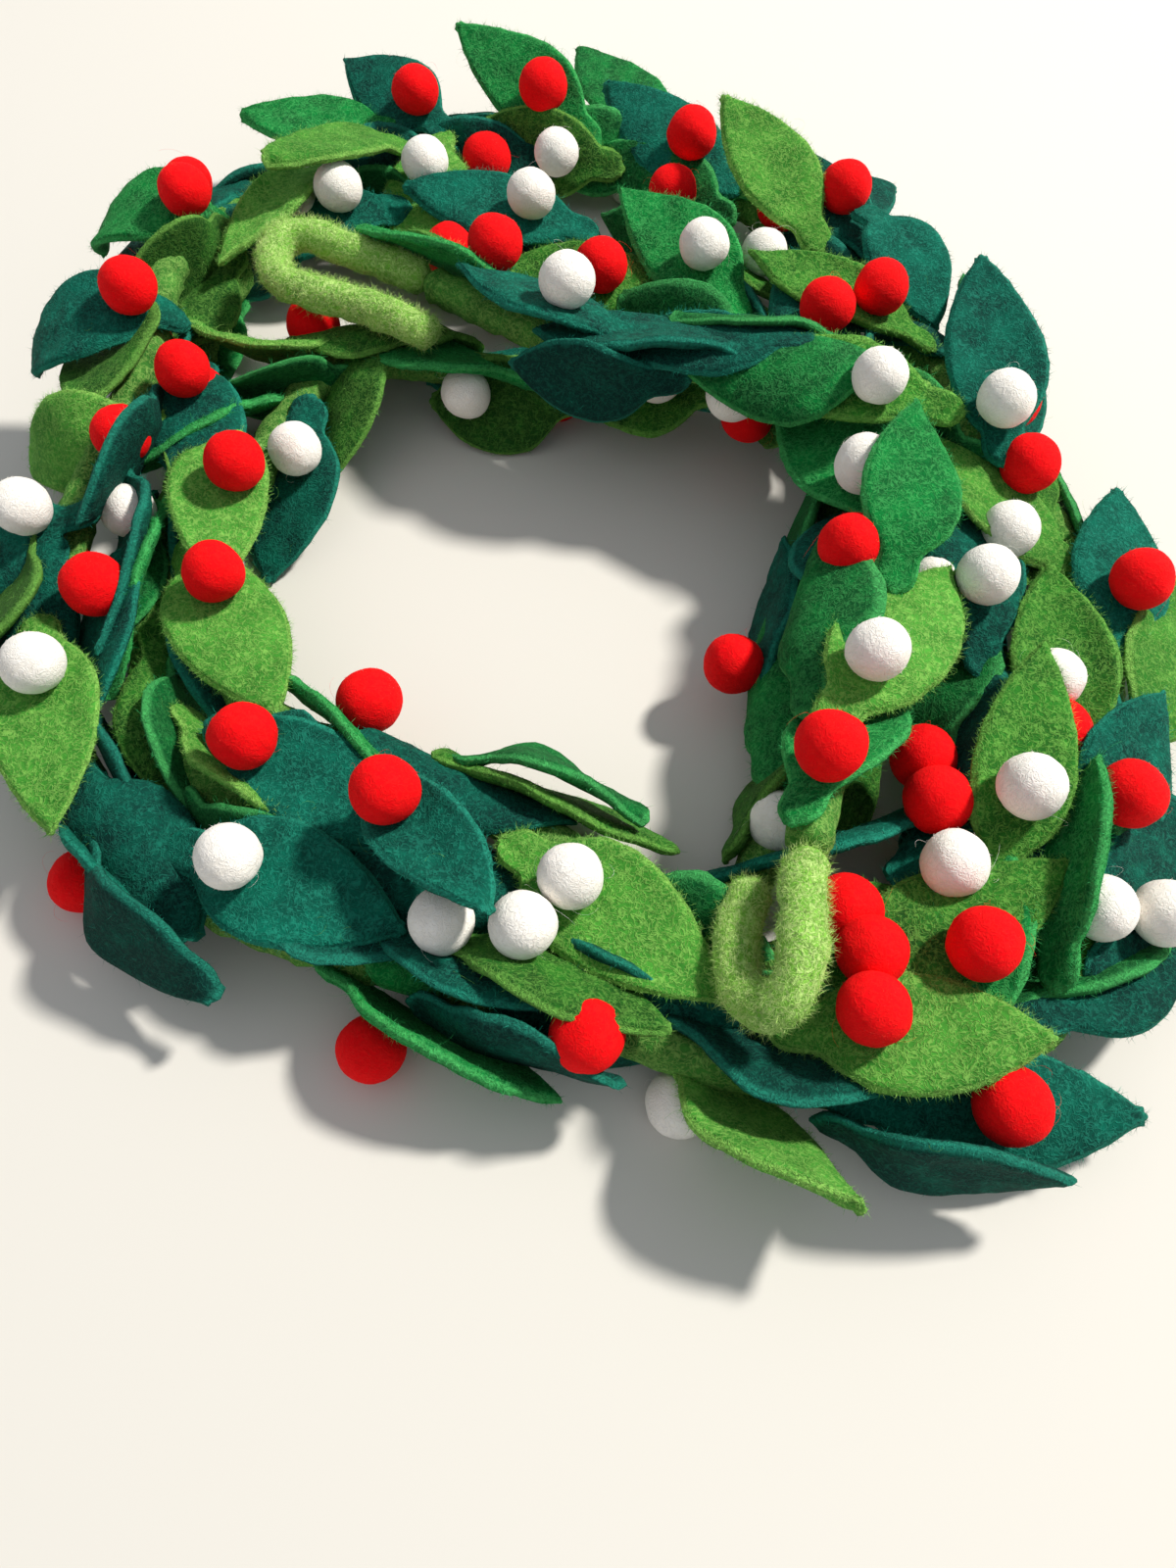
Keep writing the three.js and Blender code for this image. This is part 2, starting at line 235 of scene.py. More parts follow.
def fibreMaterial(dye, spec):
    m = shader(dye + "_fibres")
    place = m.add("ShaderNodeTexCoord", out=3)
    shade = m.add("ShaderNodeTexNoise", Vector=place, Scale=700.0, Detail=1.0)
    spread = m.add("ShaderNodeValToRGB", {"stops": ((0.38, 0.0), (0.62, 1.0))}, Fac=shade)
    tone = m.mixColour(spread, paint(spec["base"]), paint(spec["loose"]))
    return m.finished(m.add(
        "ShaderNodeBsdfPrincipled", Base_Color=tone, Roughness=0.85, Specular_IOR_Level=0.2))


feltOf = {dye: feltMaterial(dye, spec) for dye, spec in felts.items()}
feltOf.update({dye + "_fibres": fibreMaterial(dye, spec) for dye, spec in felts.items()})
print("felts", len(feltOf))


# ---- the rope. Its middle line is x, y, z in mm, about 20 mm apart, as the CAD has it.
rope = {
    "radius": 5.2 * mm,
    "seam": 8 * mm,
    "middle": (-13.8, -9.5),
    "sides": 20,
    "step": 2.2 * mm,
    "samples": 2001,
    "nudge": 1e-4,        # share of a curve on each side that gives its direction
    "slim": {"rope": 0.97, "loop": 0.92},
    "endRound": 3 * mm,
    "endTaper": 0.45,
    "lumps": ((0.35 * mm, 6 * mm, 5), (0.15 * mm, 2.4 * mm, 6)),    # height, size, seed
    "core": [
        (44.5, -124.5, 35), (46.5, -117, 34), (50, -104, 33), (56, -87, 32), (62, -69, 31), (67, -51, 30),
        (71, -32, 30), (72, -14, 28), (68, 2, 26), (60, 15, 22), (48, 25, 18), (34, 31, 14),
        (16, 34, 13), (-4, 35, 13), (-24, 37, 13), (-44, 41, 13), (-62, 42, 13), (-76, 34, 13),
        (-84, 18, 13), (-89, -1, 14), (-94, -21, 14), (-95, -42, 14), (-90, -62, 14), (-77, -78, 14),
        (-58, -89, 14), (-38, -98, 14), (-18, -107, 14), (2, -118, 13), (18, -127, 12), (31, -126, 12),
        (40, -113, 12), (44, -96, 12), (49, -77, 12), (54, -57, 12), (60, -36, 12), (66, -15, 12),
        (70, 5, 12), (70, 24, 13), (64, 42, 13), (52, 57, 13), (36, 70, 13), (18, 79, 13), (-1, 86, 13),
        (-20, 93, 13), (-40, 98, 14), (-60, 101, 14), (-80, 100, 14), (-97, 91, 13), (-109, 74, 12),
        (-113, 54, 12), (-112, 33, 12), (-109, 12, 12), (-109, -8, 12), (-111, -28, 12),
        (-110, -48, 12), (-106, -67, 12), (-98, -84, 12), (-86, -98, 13), (-69, -108, 13),
        (-50, -116, 13), (-30, -123, 13), (-10, -131, 13), (9, -141, 13), (28, -148, 13),
        (46, -148, 13), (62, -140, 14), (75, -126, 14), (84, -108, 14), (90, -88, 14), (93, -68, 14),
        (95, -48, 14), (98, -28, 14), (101, -8, 13), (102, 12, 13), (101, 32, 13), (95, 50, 13),
        (85, 68, 13), (73, 85, 13), (60, 102, 13), (45, 117, 13), (28, 130, 13), (8, 138, 14),
        (-13, 142, 14), (-35, 141, 14), (-56, 134, 14), (-76, 124, 14), (-95, 112, 15), (-110, 97, 19),
        (-118, 80, 24), (-121, 60, 26), (-121, 38, 26), (-122, 16, 25), (-127, -5, 22),
        (-132, -26, 18), (-133, -48, 15), (-129, -70, 14), (-120, -90, 13), (-107, -107, 13),
        (-92, -120, 13), (-74, -130, 13), (-54, -137, 13), (-33, -143, 13), (-12, -149, 13),
        (10, -156, 13), (32, -163, 13), (54, -166, 13), (75, -163, 13), (93, -154, 13),
        (105, -138, 13), (111, -118, 13), (116, -98, 13), (122, -78, 13), (126, -58, 13),
        (124, -38, 14), (117, -22, 19), (108, -11, 26), (97, -4, 32), (84, 1, 37), (68, 5, 40),
        (50, 8, 40), (32, 13, 38), (14, 19, 35), (-6, 28, 33), (-26, 40, 32), (-44, 52, 32),
    ],
    "start_loop": [
        (35, -127, 25.5), (31.3, -135, 25), (29.8, -144, 26), (30.3, -152, 28.5), (34.3, -156.8, 33),
        (38.8, -154, 37.6), (40.8, -146.5, 39), (41.6, -138, 38), (43.1, -130, 36.3), (44.35, -125.1, 35.08),
    ],
    "end_loop": [
        (-44.7, 52.6, 32), (-52, 57, 32.5), (-61, 61, 33), (-70, 65, 33.5),
        (-78, 69, 34), (-85, 68, 34), (-88, 60, 34), (-85, 51, 34),
        (-77, 47, 33), (-66, 44, 32), (-53, 38, 32), (-41, 31, 31),
    ],
}


def smoothRoute(points, shares):
    # a centripetal Catmull-Rom curve through the points, at the given shares of its parameter
    count = len(points)
    run = (count - 1) * np.asarray(shares, float)
    i = np.minimum(run.astype(int), count - 2)
    w = (run - i)[:, None]
    p1 = points[i]
    p2 = points[i + 1]
    p0 = np.where((i == 0)[:, None], 2 * points[0] - points[1], points[np.maximum(i - 1, 0)])
    beyond = 2 * points[-1] - points[-2]
    p3 = np.where((i == count - 2)[:, None], beyond, points[np.minimum(i + 2, count - 1)])
    d0, d1, d2 = [(((a - b) ** 2).sum(1) ** 0.25)[:, None] for a, b in ((p0, p1), (p1, p2), (p2, p3))]
    t1 = ((p1 - p0) / d0 - (p2 - p0) / (d0 + d1) + (p2 - p1) / d1) * d1
    t2 = ((p2 - p1) / d1 - (p3 - p1) / (d1 + d2) + (p3 - p2) / d2) * d1
    return p1 + t1 * w + (3 * (p2 - p1) - 2 * t1 - t2) * w ** 2 + (2 * (p1 - p2) + t1 + t2) * w ** 3


class route:
    # a curve that is asked for points by the distance along it, in metres
    def __init__(self, name):
        middle = np.array([*rope["middle"], 0])
        self.points = np.array(rope[name], float) - middle
        self.shares = np.linspace(0, 1, rope["samples"])
        walked = smoothRoute(self.points, self.shares)
        steps = np.linalg.norm(np.diff(walked, axis=0), axis=1)
        self.runs = np.concatenate([[0], np.cumsum(steps)]) * mm
        self.length = self.runs[-1]

    def at(self, distance):
        return smoothRoute(self.points, np.interp(distance, self.runs, self.shares)) * mm

    def heading(self, distance):
        share = np.interp(distance, self.runs, self.shares)
        ahead = smoothRoute(self.points, np.minimum(share + rope["nudge"], 1))
        behind = smoothRoute(self.points, np.maximum(share - rope["nudge"], 0))
        step = ahead - behind
        return step / np.linalg.norm(step, axis=1)[:, None]


core = route("core")
loops = {name: route(name) for name in ("start_loop", "end_loop")}
print("rope", round(core.length, 3), "m,", *[round(loop.length, 3) for loop in loops.values()])


# ---- leaves, all cut alike and sewn on by their tabs
leaf = {
    "width": 25 * mm,
    "blade": 50 * mm,
    "tab": 8 * mm,
    "felt": 3 * mm,
    "ball": 7.5 * mm,
    "ballSink": 1.2 * mm,
    "fullness": 0.74,     # under 1 puts the widest place nearer the stem
    "neck": 0.36,         # half widths at the stem and at the tip, as shares
    "tip": 0.07,
    "tabRound": 5 * mm,
    "rim": 1.6 * mm,      # how far in from its cut edge the felt thins
    "floorTries": 60,     # steps to tilt or lift a leaf clear of the floor
    "floorTilt": 0.8,
    "floorLift": 0.4 * mm,
    # tone: painted shade by group, darkening the leaves under and beside the others and those bent over the
    # rope; the main leaves keep their dye
    "tone": {"leaf": 0.0, "under_leaf": -0.30, "side_leaf": -0.48, "over_leaf": -0.25},
}

# at: mm along the rope. left, up: mm from the rope's middle. turn: degrees from the
# rope's direction. rise, roll, curl, cup: degrees. size: of the blade. Then felt and
# ball, and, where it is not as usual, where on the leaf its ball sits: ballAt, a share
# of the blade, ballAside, in mm, and face, 1 for a ball on top and -1 underneath.
columns = "at left up turn rise roll curl cup size felt ball ballAt ballAside face".split()
usualBall = (0.25, 0, 1)
leafRows = [
    (-6, 4, 5, -15, -12, -20, -10, 25, 0.9, "emerald", "red", 0.1, -4),
    (18, 2, 7, -18, 0, 0, -10, -20, 1, "lime", "white", 0.2),
    (60, -4, 7, 6, 10, 10, 0, 20, 0.8, "emerald", "white", 0.25, 0, -1),
    (80, -2, 7, 28, -5, -10, 0, 35, 1.1, "emerald", "white", 0.12),
    (160, 9, 7, 14, -6, -10, 0, 20, 0.9, "moss", "white"),
    (195, -2, -7, -5, -6, 0, 0, 0, 1, "teal", "red", 0.25, 0, -1),
    (218, 10, 6, -16, -2, 50, 0, 15, 1, "emerald", "white", 0.25, 0, -1),
    (264, -5, 3, 30, -2, 70, 60, 0, 1, "lime", "red"),
    (316, -10, 7, 20, 5, -5, 0, 15, 1, "lime", "red", 0.4, 6),
    (354, -6, 7, 34, -1, 0, 0, -15, 1, "lime", "red", 0.28, 2),
    (404, -12, 7, 10, 2, 10, 0, 35, 1, "teal", "red", 0.15),
    (404, 8, 4, 0, 2, -70, 0, 15, 1, "emerald", "red"),
    (440, -6, 7, -30, 20, 0, 0, 70, 0.9, "teal", "red", 0.3, -5),
    (475, -7, 7, -12, 2, 12, 0, -15, 1, "lime", "white"),
    (520, 7, 0, 10, -8, -70, 0, 10, 1, "teal", "white"),
    (722, 8, 7, -7, 10, -10, -10, 15, 1, "emerald", "white"),
    (750, 8, 7, 20, -6, -15, 0, 20, 1, "moss", "red"),
    (780, -3, 7, 10, 6, -10, 0, 20, 1, "teal", "white"),
    (838, 2, 7, 15, 0, 0, 0, 20, 1, "teal", "white"),
    (900, 0, -6.6, 10, -6, 0, 0, 0, 1, "emerald", "white", 0.25, 0, -1),
    (300, -2, 5, -40, -2, 60, 0, 15, 1, "emerald", "red"),
    (995, 3, 9, -5, -6, 75, 0, 15, 1, "emerald", "white", 0),
    (1060, 5, 4, 20, 4, -60, 0, 35, 1, "lime", "white"),
    (1095, 0, -7, 0, -6, 0, 0, 0, 1, "teal", "white", 0.25, 0, -1),
    (1228, 0, 7, 10, 3, 0, 0, 10, 1, "moss", "red", 0.05),
    (1268, -9, 7, 14, 9, 5, 0, 40, 1, "moss", "white"),
    (1360, 0, -7, 5, -6, 0, 0, 0, 1, "moss", "red", 0.25, 0, -1),
    (1434, 2, 7, 45, 8, 0, 0, 60, 1, "moss", "red"),
    (1486, -9, 14, 170, 0, 0, -40, 10, 0.7, "teal", "white", 0.25, 0, -1),
    (1484, 6, 8, 0, 22, -10, 0, 15, 0.9, "lime", "red", 0.25, 0, -1),
    (1524, 4, 5.5, -2, 9, -10, 0, -20, 1, "teal", "red"),
    (1545, 0, -7, 5, -6, 0, 0, 0, 1, "moss", "white", 0.25, 0, -1),
    (1576, 5, 4.5, -24, 15, -30, 0, 10, 1, "emerald", "red"),
    (1628, 0, 7, 66, 0, 0, -10, 15, 1, "lime", "white", 0.35),
    (1640, -4, 7, -35, 0, 0, 0, 10, 0.9, "emerald", "white", 0.25, 0, -1),
    (1666, 4, 9, 34, 0, 15, 0, 70, 1, "lime", "white", 0.25, 0, -1),
    (1712, 9, 0, -50, 50, -20, -130, 0, 0.85, "emerald", "red", 0.15),
    (1762, 9, 0, -60, 45, -20, -120, 0, 0.85, "teal", "red", 0.15),
    (1795, 12, 0, -50, 10, -40, -90, 15, 0.8, "lime", "red", 0.05, 3),
    (1828, 9, 7, -62, -12, 0, 0, -25, 0.85, "teal", "white", 0.15),
    (1862, 0, 7, 7, -2, -5, 0, 10, 1.05, "lime", "white"),
    (1905, -6, -2, 10, -6, -60, 0, 10, 0.85, "teal", "red", 0.25, 0, -1),
    (1939, 4, 7, 14, 6, 8, -10, -15, 0.95, "teal", "white"),
    (1980, -2, 0, -10, 0, -60, 0, 10, 1, "emerald", "red", 0.2, 0, -1),
    (2055, 3, -5, -25, 20, -45, 0, 10, 0.85, "lime", "white", 0, 0, -1),
    (2075, 8, 7, 8, 6, 5, 0, 10, 0.9, "lime", "red", 0.25, 3),
    (2088, -3, 2, 3, -3, 10, 0, 20, 1.1, "teal", "red", 0.45),
    (2118, -2, 7, 65, 0, -10, 0, 90, 1, "emerald", "red"),
    (2142, 2, 7, 25, 12, -65, 0, 50, 0.85, "emerald", "white", 0.25, -2, -1),
    (2174, 4, 7, -20, 5, 15, 0, 20, 0.8, "teal", "red", 0.2),
    (2196, 4, 7, 14, 6, 0, 0, 45, 0.9, "moss", "red", 0.25, 0, -1),
    (2230, -3, 7, 5, 8, 10, 0, 15, 0.8, "teal", "red"),
    (2296, 8, 7, -50, 18, -10, 0, 15, 0.95, "teal", "white", 0.1),
    (2314, 6, 7, 0, 0, -20, 0, 100, 1, "moss", "white"),
    (2350, 7, -2, -45, -10, -95, 0, 15, 1, "teal", "white", 0.2),
    (2396, 3, 7, -8, 0, 5, 0, 25, 0.85, "teal", "white"),
    (2430, -4, 4, 0, 0, 60, 0, 15, 1, "emerald", "red", 0.15, 5),
]

# Leaves under and between the others, too many to be solids of their own.
underRows = [
    (50, 6, 5, 0, -15, 0, 0, 15, 0.9, "teal", "red"),
    (130, 6, -5, 0, -2, -80, 0, 0, 0.9, "moss", "red"),
    (142, 5, 7, 10, -18, -15, 0, 25, 0.9, "teal", "white"),
    (266, -6, 7, 66, -25, 0, 0, 10, 0.9, "moss", ""),
    (296, 6, 5, 10, -20, -10, 0, 10, 0.9, "teal", "white"),
    (450, 7, 4, 0, -10, -60, 0, 10, 1, "moss", ""),
    (540, -8, 4, -10, 0, 30, 0, 10, 0.7, "moss", ""),
    (575, 7, 0, 0, -8, -70, 0, 10, 0.9, "teal", "red", 0.1),
    (682, 2, 7, 0, 0, 0, 0, 10, 0.9, "teal", "red"),
    (716, -10, 4, 0, 0, 20, 0, 10, 0.9, "moss", "white"),
    (800, 8, 3, 0, 0, -50, 0, 10, 0.9, "emerald", "red"),
    (948, 5, 7, 5, 0, 0, 0, 10, 0.9, "teal", "red"),
    (1012, -6, 7, 0, 0, 10, 0, 10, 0.9, "teal", "red"),
    (1215, 7, 5, 10, 0, -25, 0, 10, 0.9, "moss", "red"),
    (1248, 2, 7, -6, -2, 0, 0, 10, 0.9, "teal", "white"),
    (1260, 8, 5, 0, 0, -35, 0, 10, 0.9, "teal", "red"),
    (1270, 4, 5, 2, 0, -55, 0, 15, 1, "teal", "red"),
    (1320, 0, 7, 2, 6, 0, 0, 20, 1, "teal", "white"),
    (1324, 8, 5, 0, 0, -15, 0, 15, 0.9, "emerald", "white"),
    (1338, -4, 7, 0, 0, 0, 0, 15, 0.9, "moss", "white"),
    (1388, -8, 7, 0, 12, 10, 0, 15, 0.9, "teal", "red"),
    (1472, -6, 7, 0, 0, 5, 0, 15, 0.9, "teal", "red"),
    (1500, 8, 5, -90, -10, 0, 0, 15, 0.8, "teal", "white", 0.4, -5, -1),
    (1518, 12, 3, 0, 0, -45, 0, 10, 0.9, "emerald", "red"),
    (1555, -3, 7, -35, 0, 0, 0, 10, 1, "emerald", "", 0.25, 0, -1),
    (1566, 9, 2, 0, 0, -50, 0, 10, 0.9, "moss", "white"),
    (1590, 9, 2, 5, 0, -50, 0, 10, 0.9, "teal", "red"),
    (1626, 4, 7, -58, 5, -15, 0, 10, 0.75, "teal", "red", 0.15),
    (1640, 5, 7, 25, 20, 0, 0, 15, 1, "lime", "", 0.25, 0, -1),
    (1690, -5, 4, -5, 0, 10, 0, 10, 0.9, "teal", "red"),
    (1812, 5, 5, 28, -8, 60, 0, 10, 1, "teal", ""),
    (1985, 6, 4, -10, 0, -30, 0, 10, 0.9, "teal", "white"),
    (2002, 6, 4, -10, 0, -35, 0, 10, 0.9, "moss", "white"),
    (2020, -7, 2, 20, 0, 35, 0, 10, 0.9, "teal", "red"),
    (2148, -4, 4, 0, 0, 40, 0, 10, 0.9, "teal", "white"),
    (2186, 5, 6, 5, 0, -30, 0, 10, 0.9, "teal", "red"),
    (2196, 10, 5, 0, 0, -20, 0, 10, 0.8, "moss", "white"),
    (2205, -8, 4, -4, 0, 50, 0, 15, 1, "lime", "", 0.25, 0, -1),
    (2255, 4, 7, 40, 15, 0, 0, 15, 0.9, "lime", "", 0.25, 0, -1),
    (2268, 6, 5, 0, 2, 0, 0, 15, 0.9, "moss", "red"),
    (2364, 3, 7, -5, -6, 30, 0, 10, 1, "teal", "", 0.25, 0, -1),
]

# Leaves that lie along the top of the rope, bent over it: mm along it, dye, degrees over
# to the left, degrees of turn.
over = {"out": 7.3, "rise": -4, "curl": -6, "cup": -85, "size": 0.88}
overRows = [
    (432, "teal", 20, 4), (556, "emerald", 25, 3), (894, "moss", 0, 5), (996, "emerald", -20, -4),
    (1034, "moss", 30, 5), (1118, "teal", 10, 4), (1432, "teal", 0, 6), (1514, "emerald", -10, 4),
    (1838, "teal", 0, 0), (1906, "teal", -10, 3), (1992, "emerald", -20, 5), (2128, "teal", 20, 5),
    (2330, "emerald", 10, 4), (2350, "teal", -25, -4), (246, "moss", -20, 4),
]


def bentOverRows():
    rows = []
    for at, dye, lean, turn in overRows:
        left = over["out"] * math.sin(math.radians(lean))
        up = over["out"] * math.cos(math.radians(lean))
        bent = (over["rise"], -lean, over["curl"], over["cup"], over["size"])
        rows.append((at, left, up, turn, *bent, dye, ""))
    return rows


# Leaves that lie edgewise along the rope and close it in, by turns on its two sides.
filler = {
    "first": 30, "last": 2400, "every": 84,
    "between": 42,        # mm from a leaf on the left to the next on the right
    "stray": 9, "out": 6.7, "drop": 0.5, "cup": 18, "size": 0.8, "vary": (0.9, 1.1),
    "lean": (58, 84), "turn": (-5, 3), "rise": (-4, 3),
    "dyes": {"emerald": 0.3, "teal": 0.42, "moss": 0.28},
    "seed": 11,
}


def fillerRows():
    rng = np.random.default_rng(filler["seed"])
    shades, odds = list(filler["dyes"]), list(filler["dyes"].values())
    rows = []
    for at in range(filler["first"], filler["last"], filler["every"]):
        for side in (1, -1):
            lean = rng.uniform(*filler["lean"])
            left = side * filler["out"] * math.sin(math.radians(lean))
            up = filler["out"] * math.cos(math.radians(lean)) - filler["drop"]
            turn = rng.uniform(*filler["turn"]) * side
            rise = rng.uniform(*filler["rise"])
            dye = str(rng.choice(shades, p=odds))
            place = at + filler["between"] * (side < 0) + rng.uniform(-filler["stray"], filler["stray"])
            size = filler["size"] * rng.uniform(*filler["vary"])
            bent = (rise, -side * lean, 0, filler["cup"], size)
            rows.append((place, left, up, turn, *bent, dye, ""))
    return rows


def namedRows():
    rows = []
    groups = (
        ("leaf", leafRows), ("under_leaf", underRows), ("side_leaf", fillerRows()),
        ("over_leaf", bentOverRows()),
    )
    for group, cells in groups:
        for i, cell in enumerate(cells):
            missing = len(columns) - len(cell)
            row = dict(zip(columns, (*cell, *usualBall[len(usualBall) - missing:])))
            row["name"] = f"{group}_{i + 1:02d}"
            row["group"] = group
            row["length"] = leaf["tab"] + leaf["blade"] * row["size"]
            rows.append(row)
    return rows


def turned(angle, axis):
    return np.array(Matrix.Rotation(math.radians(angle), 3, axis))


def sewnPlace(row):
    # where a leaf's tab is sewn on, and the leaf's own directions there
    sewn = [row["at"] * mm + rope["seam"]]
    along = core.heading(sewn)[0]
    up = np.array([0, 0, 1]) - along * along[2]
    up /= np.linalg.norm(up)
    left = np.cross(up, along)
    base = core.at(sewn)[0] + (up * row["up"] + left * row["left"]) * mm
    heading = math.degrees(math.atan2(along[1], along[0])) + row["turn"]
    return base, turned(heading, "Z") @ turned(-row["rise"], "Y") @ turned(row["roll"], "X")


def arc(bend, distance):
    if abs(bend) < 1e-6:
        return distance, distance * 0
    return np.sin(bend * distance) / bend, (1 - np.cos(bend * distance)) / bend


def bentPoints(row, s, v, n):
    # s along the leaf, v across it, n off its middle layer: curled, cupped and put in place
    curl = math.radians(row["curl"]) / row["length"]
    cup = math.radians(row["cup"]) / leaf["width"]
    x, rise = arc(curl, s)
    across, lift = arc(cup, v)
    y = across - np.sin(cup * v) * n
    h = lift + np.cos(cup * v) * n
    local = np.stack([x - np.sin(curl * s) * h, y, rise + np.cos(curl * s) * h], -1)
    return local @ row["turned"].T + row["base"]


def halfWidth(row, s):
    share = np.clip((s - leaf["tab"]) / (row["length"] - leaf["tab"]), 0, 1)
    blade = np.sin(np.pi * share ** row["fullness"]).clip(0) ** 0.75
    ends = leaf["neck"] * (1 - share) + leaf["tip"] * share
    start = np.clip(s / leaf["tabRound"], 0, 1)
    tab = 0.3 + 0.7 * (1 - (1 - start) ** 2) ** 0.5
    return leaf["width"] / 2 * (blade ** 4 + ends ** 4) ** 0.25 * tab


def clearOfFloor(row):
    # a leaf that would reach under the floor is tilted up, or lifted at its tab
    s = np.linspace(0, 1, 9)[:, None] * row["length"]
    v = np.linspace(-1, 1, 5) * halfWidth(row, s)
    lifted = 0.0
    for _ in range(leaf["floorTries"]):
        row["base"], row["turned"] = sewnPlace(row)
        row["base"][2] += lifted
        heights = bentPoints(row, s + 0 * v, v, 0 * v)[..., 2]
        low = np.unravel_index(heights.argmin(), heights.shape)
        if heights[low] > leaf["felt"] * 0.6:
            break
        if low[0] > 3:
            row["rise"] += leaf["floorTilt"]
        else:
            lifted += leaf["floorLift"]


leaves = namedRows()
for i, row in enumerate(leaves):
    row["fullness"] = leaf["fullness"]
    clearOfFloor(row)
    row["rng"] = np.random.default_rng(500 + i)
    # each leaf's tone: its group's painted shade, and a tone that differs at random from leaf to leaf
    row["tone"] = leaf["tone"][row["group"]] + row["rng"].uniform(-0.12, 0.12)
    row["fullness"] = leaf["fullness"] + row["rng"].uniform(-0.04, 0.08)
print("leaves", len(leaves))


# ---- settling: leaves and balls are eased apart over a set number of rounds, so that they lie through one another less.
# Each leaf is a net of points that only moves as felt bends: it slides a little as a
# whole, and a smooth field lifts or lowers its face.
settle = {
    "along": 13,
    "across": 5,
    "rounds": 70,
    "batch": 400,
    "gap": 0.2 * mm,
    "reach": 5.2 * mm,     # how far a net point speaks for the felt round it
    "deepest": 4 * mm,     # most that one round pushes
    "facing": 12 * mm,     # how far off a leaf's face another still counts as beside it
    "near": 9 * mm,        # how far apart two leaves may be and still be tried
    "cordNear": 14 * mm,
    "cordStep": 4 * mm,
    "ballNodes": 9,        # net points that a ball's push moves
    "eager": 1.6,
    "softer": 0.6,
    "weight": {"leaf": 5.0, "under_leaf": 1.6, "side_leaf": 1.0, "over_leaf": 1.0},
    "most": {"leaf": 5 * mm, "under_leaf": 9 * mm, "side_leaf": 9 * mm, "over_leaf": 9 * mm},
    "slide": 7.0,          # how hard it is to slide, against bending
    "bend": (0.3, 0.3, 0.5, 0.8, 1.2, 1.2, 2.5, 2.5, 2.5),
}


def heldShare(x):
    # how free a leaf is at a share of its length: its tab hardly moves
    free = np.clip(x / 0.4, 0, 1)
    return 0.15 + 0.85 * free * free * (3 - 2 * free)


def moveTerms(row, s, v):
    # the ways in which a point of a leaf may move, each a direction with its size
    x = s / row["length"]
    y = v / (leaf["width"] / 2)
    face = (bentPoints(row, s, v, x * 0 + mm) - bentPoints(row, s, v, x * 0)) / mm
    slides = [np.broadcast_to(row["turned"][:, k], face.shape) for k in (0, 1)]
    bends = [face * term[..., None] for term in (
        x * 0 + 1, x, y, x * x, x * y, y * y, x * x * y, x * y * y, x ** 3)]
    return np.stack(slides + bends, -1) * heldShare(x)[..., None, None]


def nearest(a, b):
    # for each point of each net in a, the nearest one of the matching net in b
    apart = (a ** 2).sum(-1)[:, :, None] + (b ** 2).sum(-1)[:, None, :] - 2 * a @ b.transpose(0, 2, 1)
    which = apart.argmin(2)
    return which, np.take_along_axis(apart, which[:, :, None], 2)[:, :, 0].clip(0) ** 0.5


def netNormals(net):
    grid = net.reshape(len(net), settle["along"], settle["across"], 3)
    normal = np.cross(np.gradient(grid, axis=1), np.gradient(grid, axis=2))
    normal /= np.linalg.norm(normal, axis=-1, keepdims=True) + 1e-12
    return normal.reshape(net.shape)


def ballMiddle(row):
    off = row["face"] * (leaf["felt"] / 2 + leaf["ball"] - leaf["ballSink"])
    return bentPoints(row, row["ballS"], row["ballV"], np.array(off))


def pushFromCord(points, cord, clear):
    # how each point has to move to be clear of the rope
    offset = points[:, None] - cord[None]
    far = np.linalg.norm(offset, axis=-1)
    which = far.argmin(1)
    far = far[np.arange(len(far)), which]
    out = offset[np.arange(len(far)), which] / far[:, None].clip(1e-6)
    return out * (clear - far).clip(0)[:, None]


def pushLeaves(net, first, second, side, share):
    push = np.zeros_like(net)
    hits = np.zeros(net.shape[:2])
    normals = netNormals(net)
    felt = leaf["felt"] + settle["gap"]
    deepest = 0
    for start in range(0, len(first), settle["batch"]):
        part = slice(start, start + settle["batch"])
        a, b = first[part], second[part]
        which, far = nearest(net[a], net[b])
        offset = net[a] - np.take_along_axis(net[b], which[:, :, None], 1)
        normal = np.take_along_axis(normals[b], which[:, :, None], 1)
        height = (offset * normal).sum(-1)
        aside = (far ** 2 - height ** 2).clip(0) ** 0.5
        over = (aside < settle["reach"]) & (abs(height) < settle["facing"])
        side[part] = np.where(side[part] == 0, np.sign((height * over).sum(1)), side[part])
        toward = side[part][:, None]
        deep = np.where(over, (felt - toward * height).clip(0, settle["deepest"]), 0)
        shove = normal * (toward * deep)[:, :, None]
        np.add.at(push, a, shove * share[part][:, None, None])
        np.add.at(hits, a, deep > 0)
        flat = (b[:, None] * net.shape[1] + which).ravel()
        back = shove * (share[part] - 1)[:, None, None]
        np.add.at(push.reshape(-1, 3), flat, back.reshape(-1, 3))
        np.add.at(hits.reshape(-1), flat, (deep > 0).ravel())
        deepest = max(deepest, deep.max())
    return push / np.maximum(hits, 1)[:, :, None] ** settle["softer"], deepest


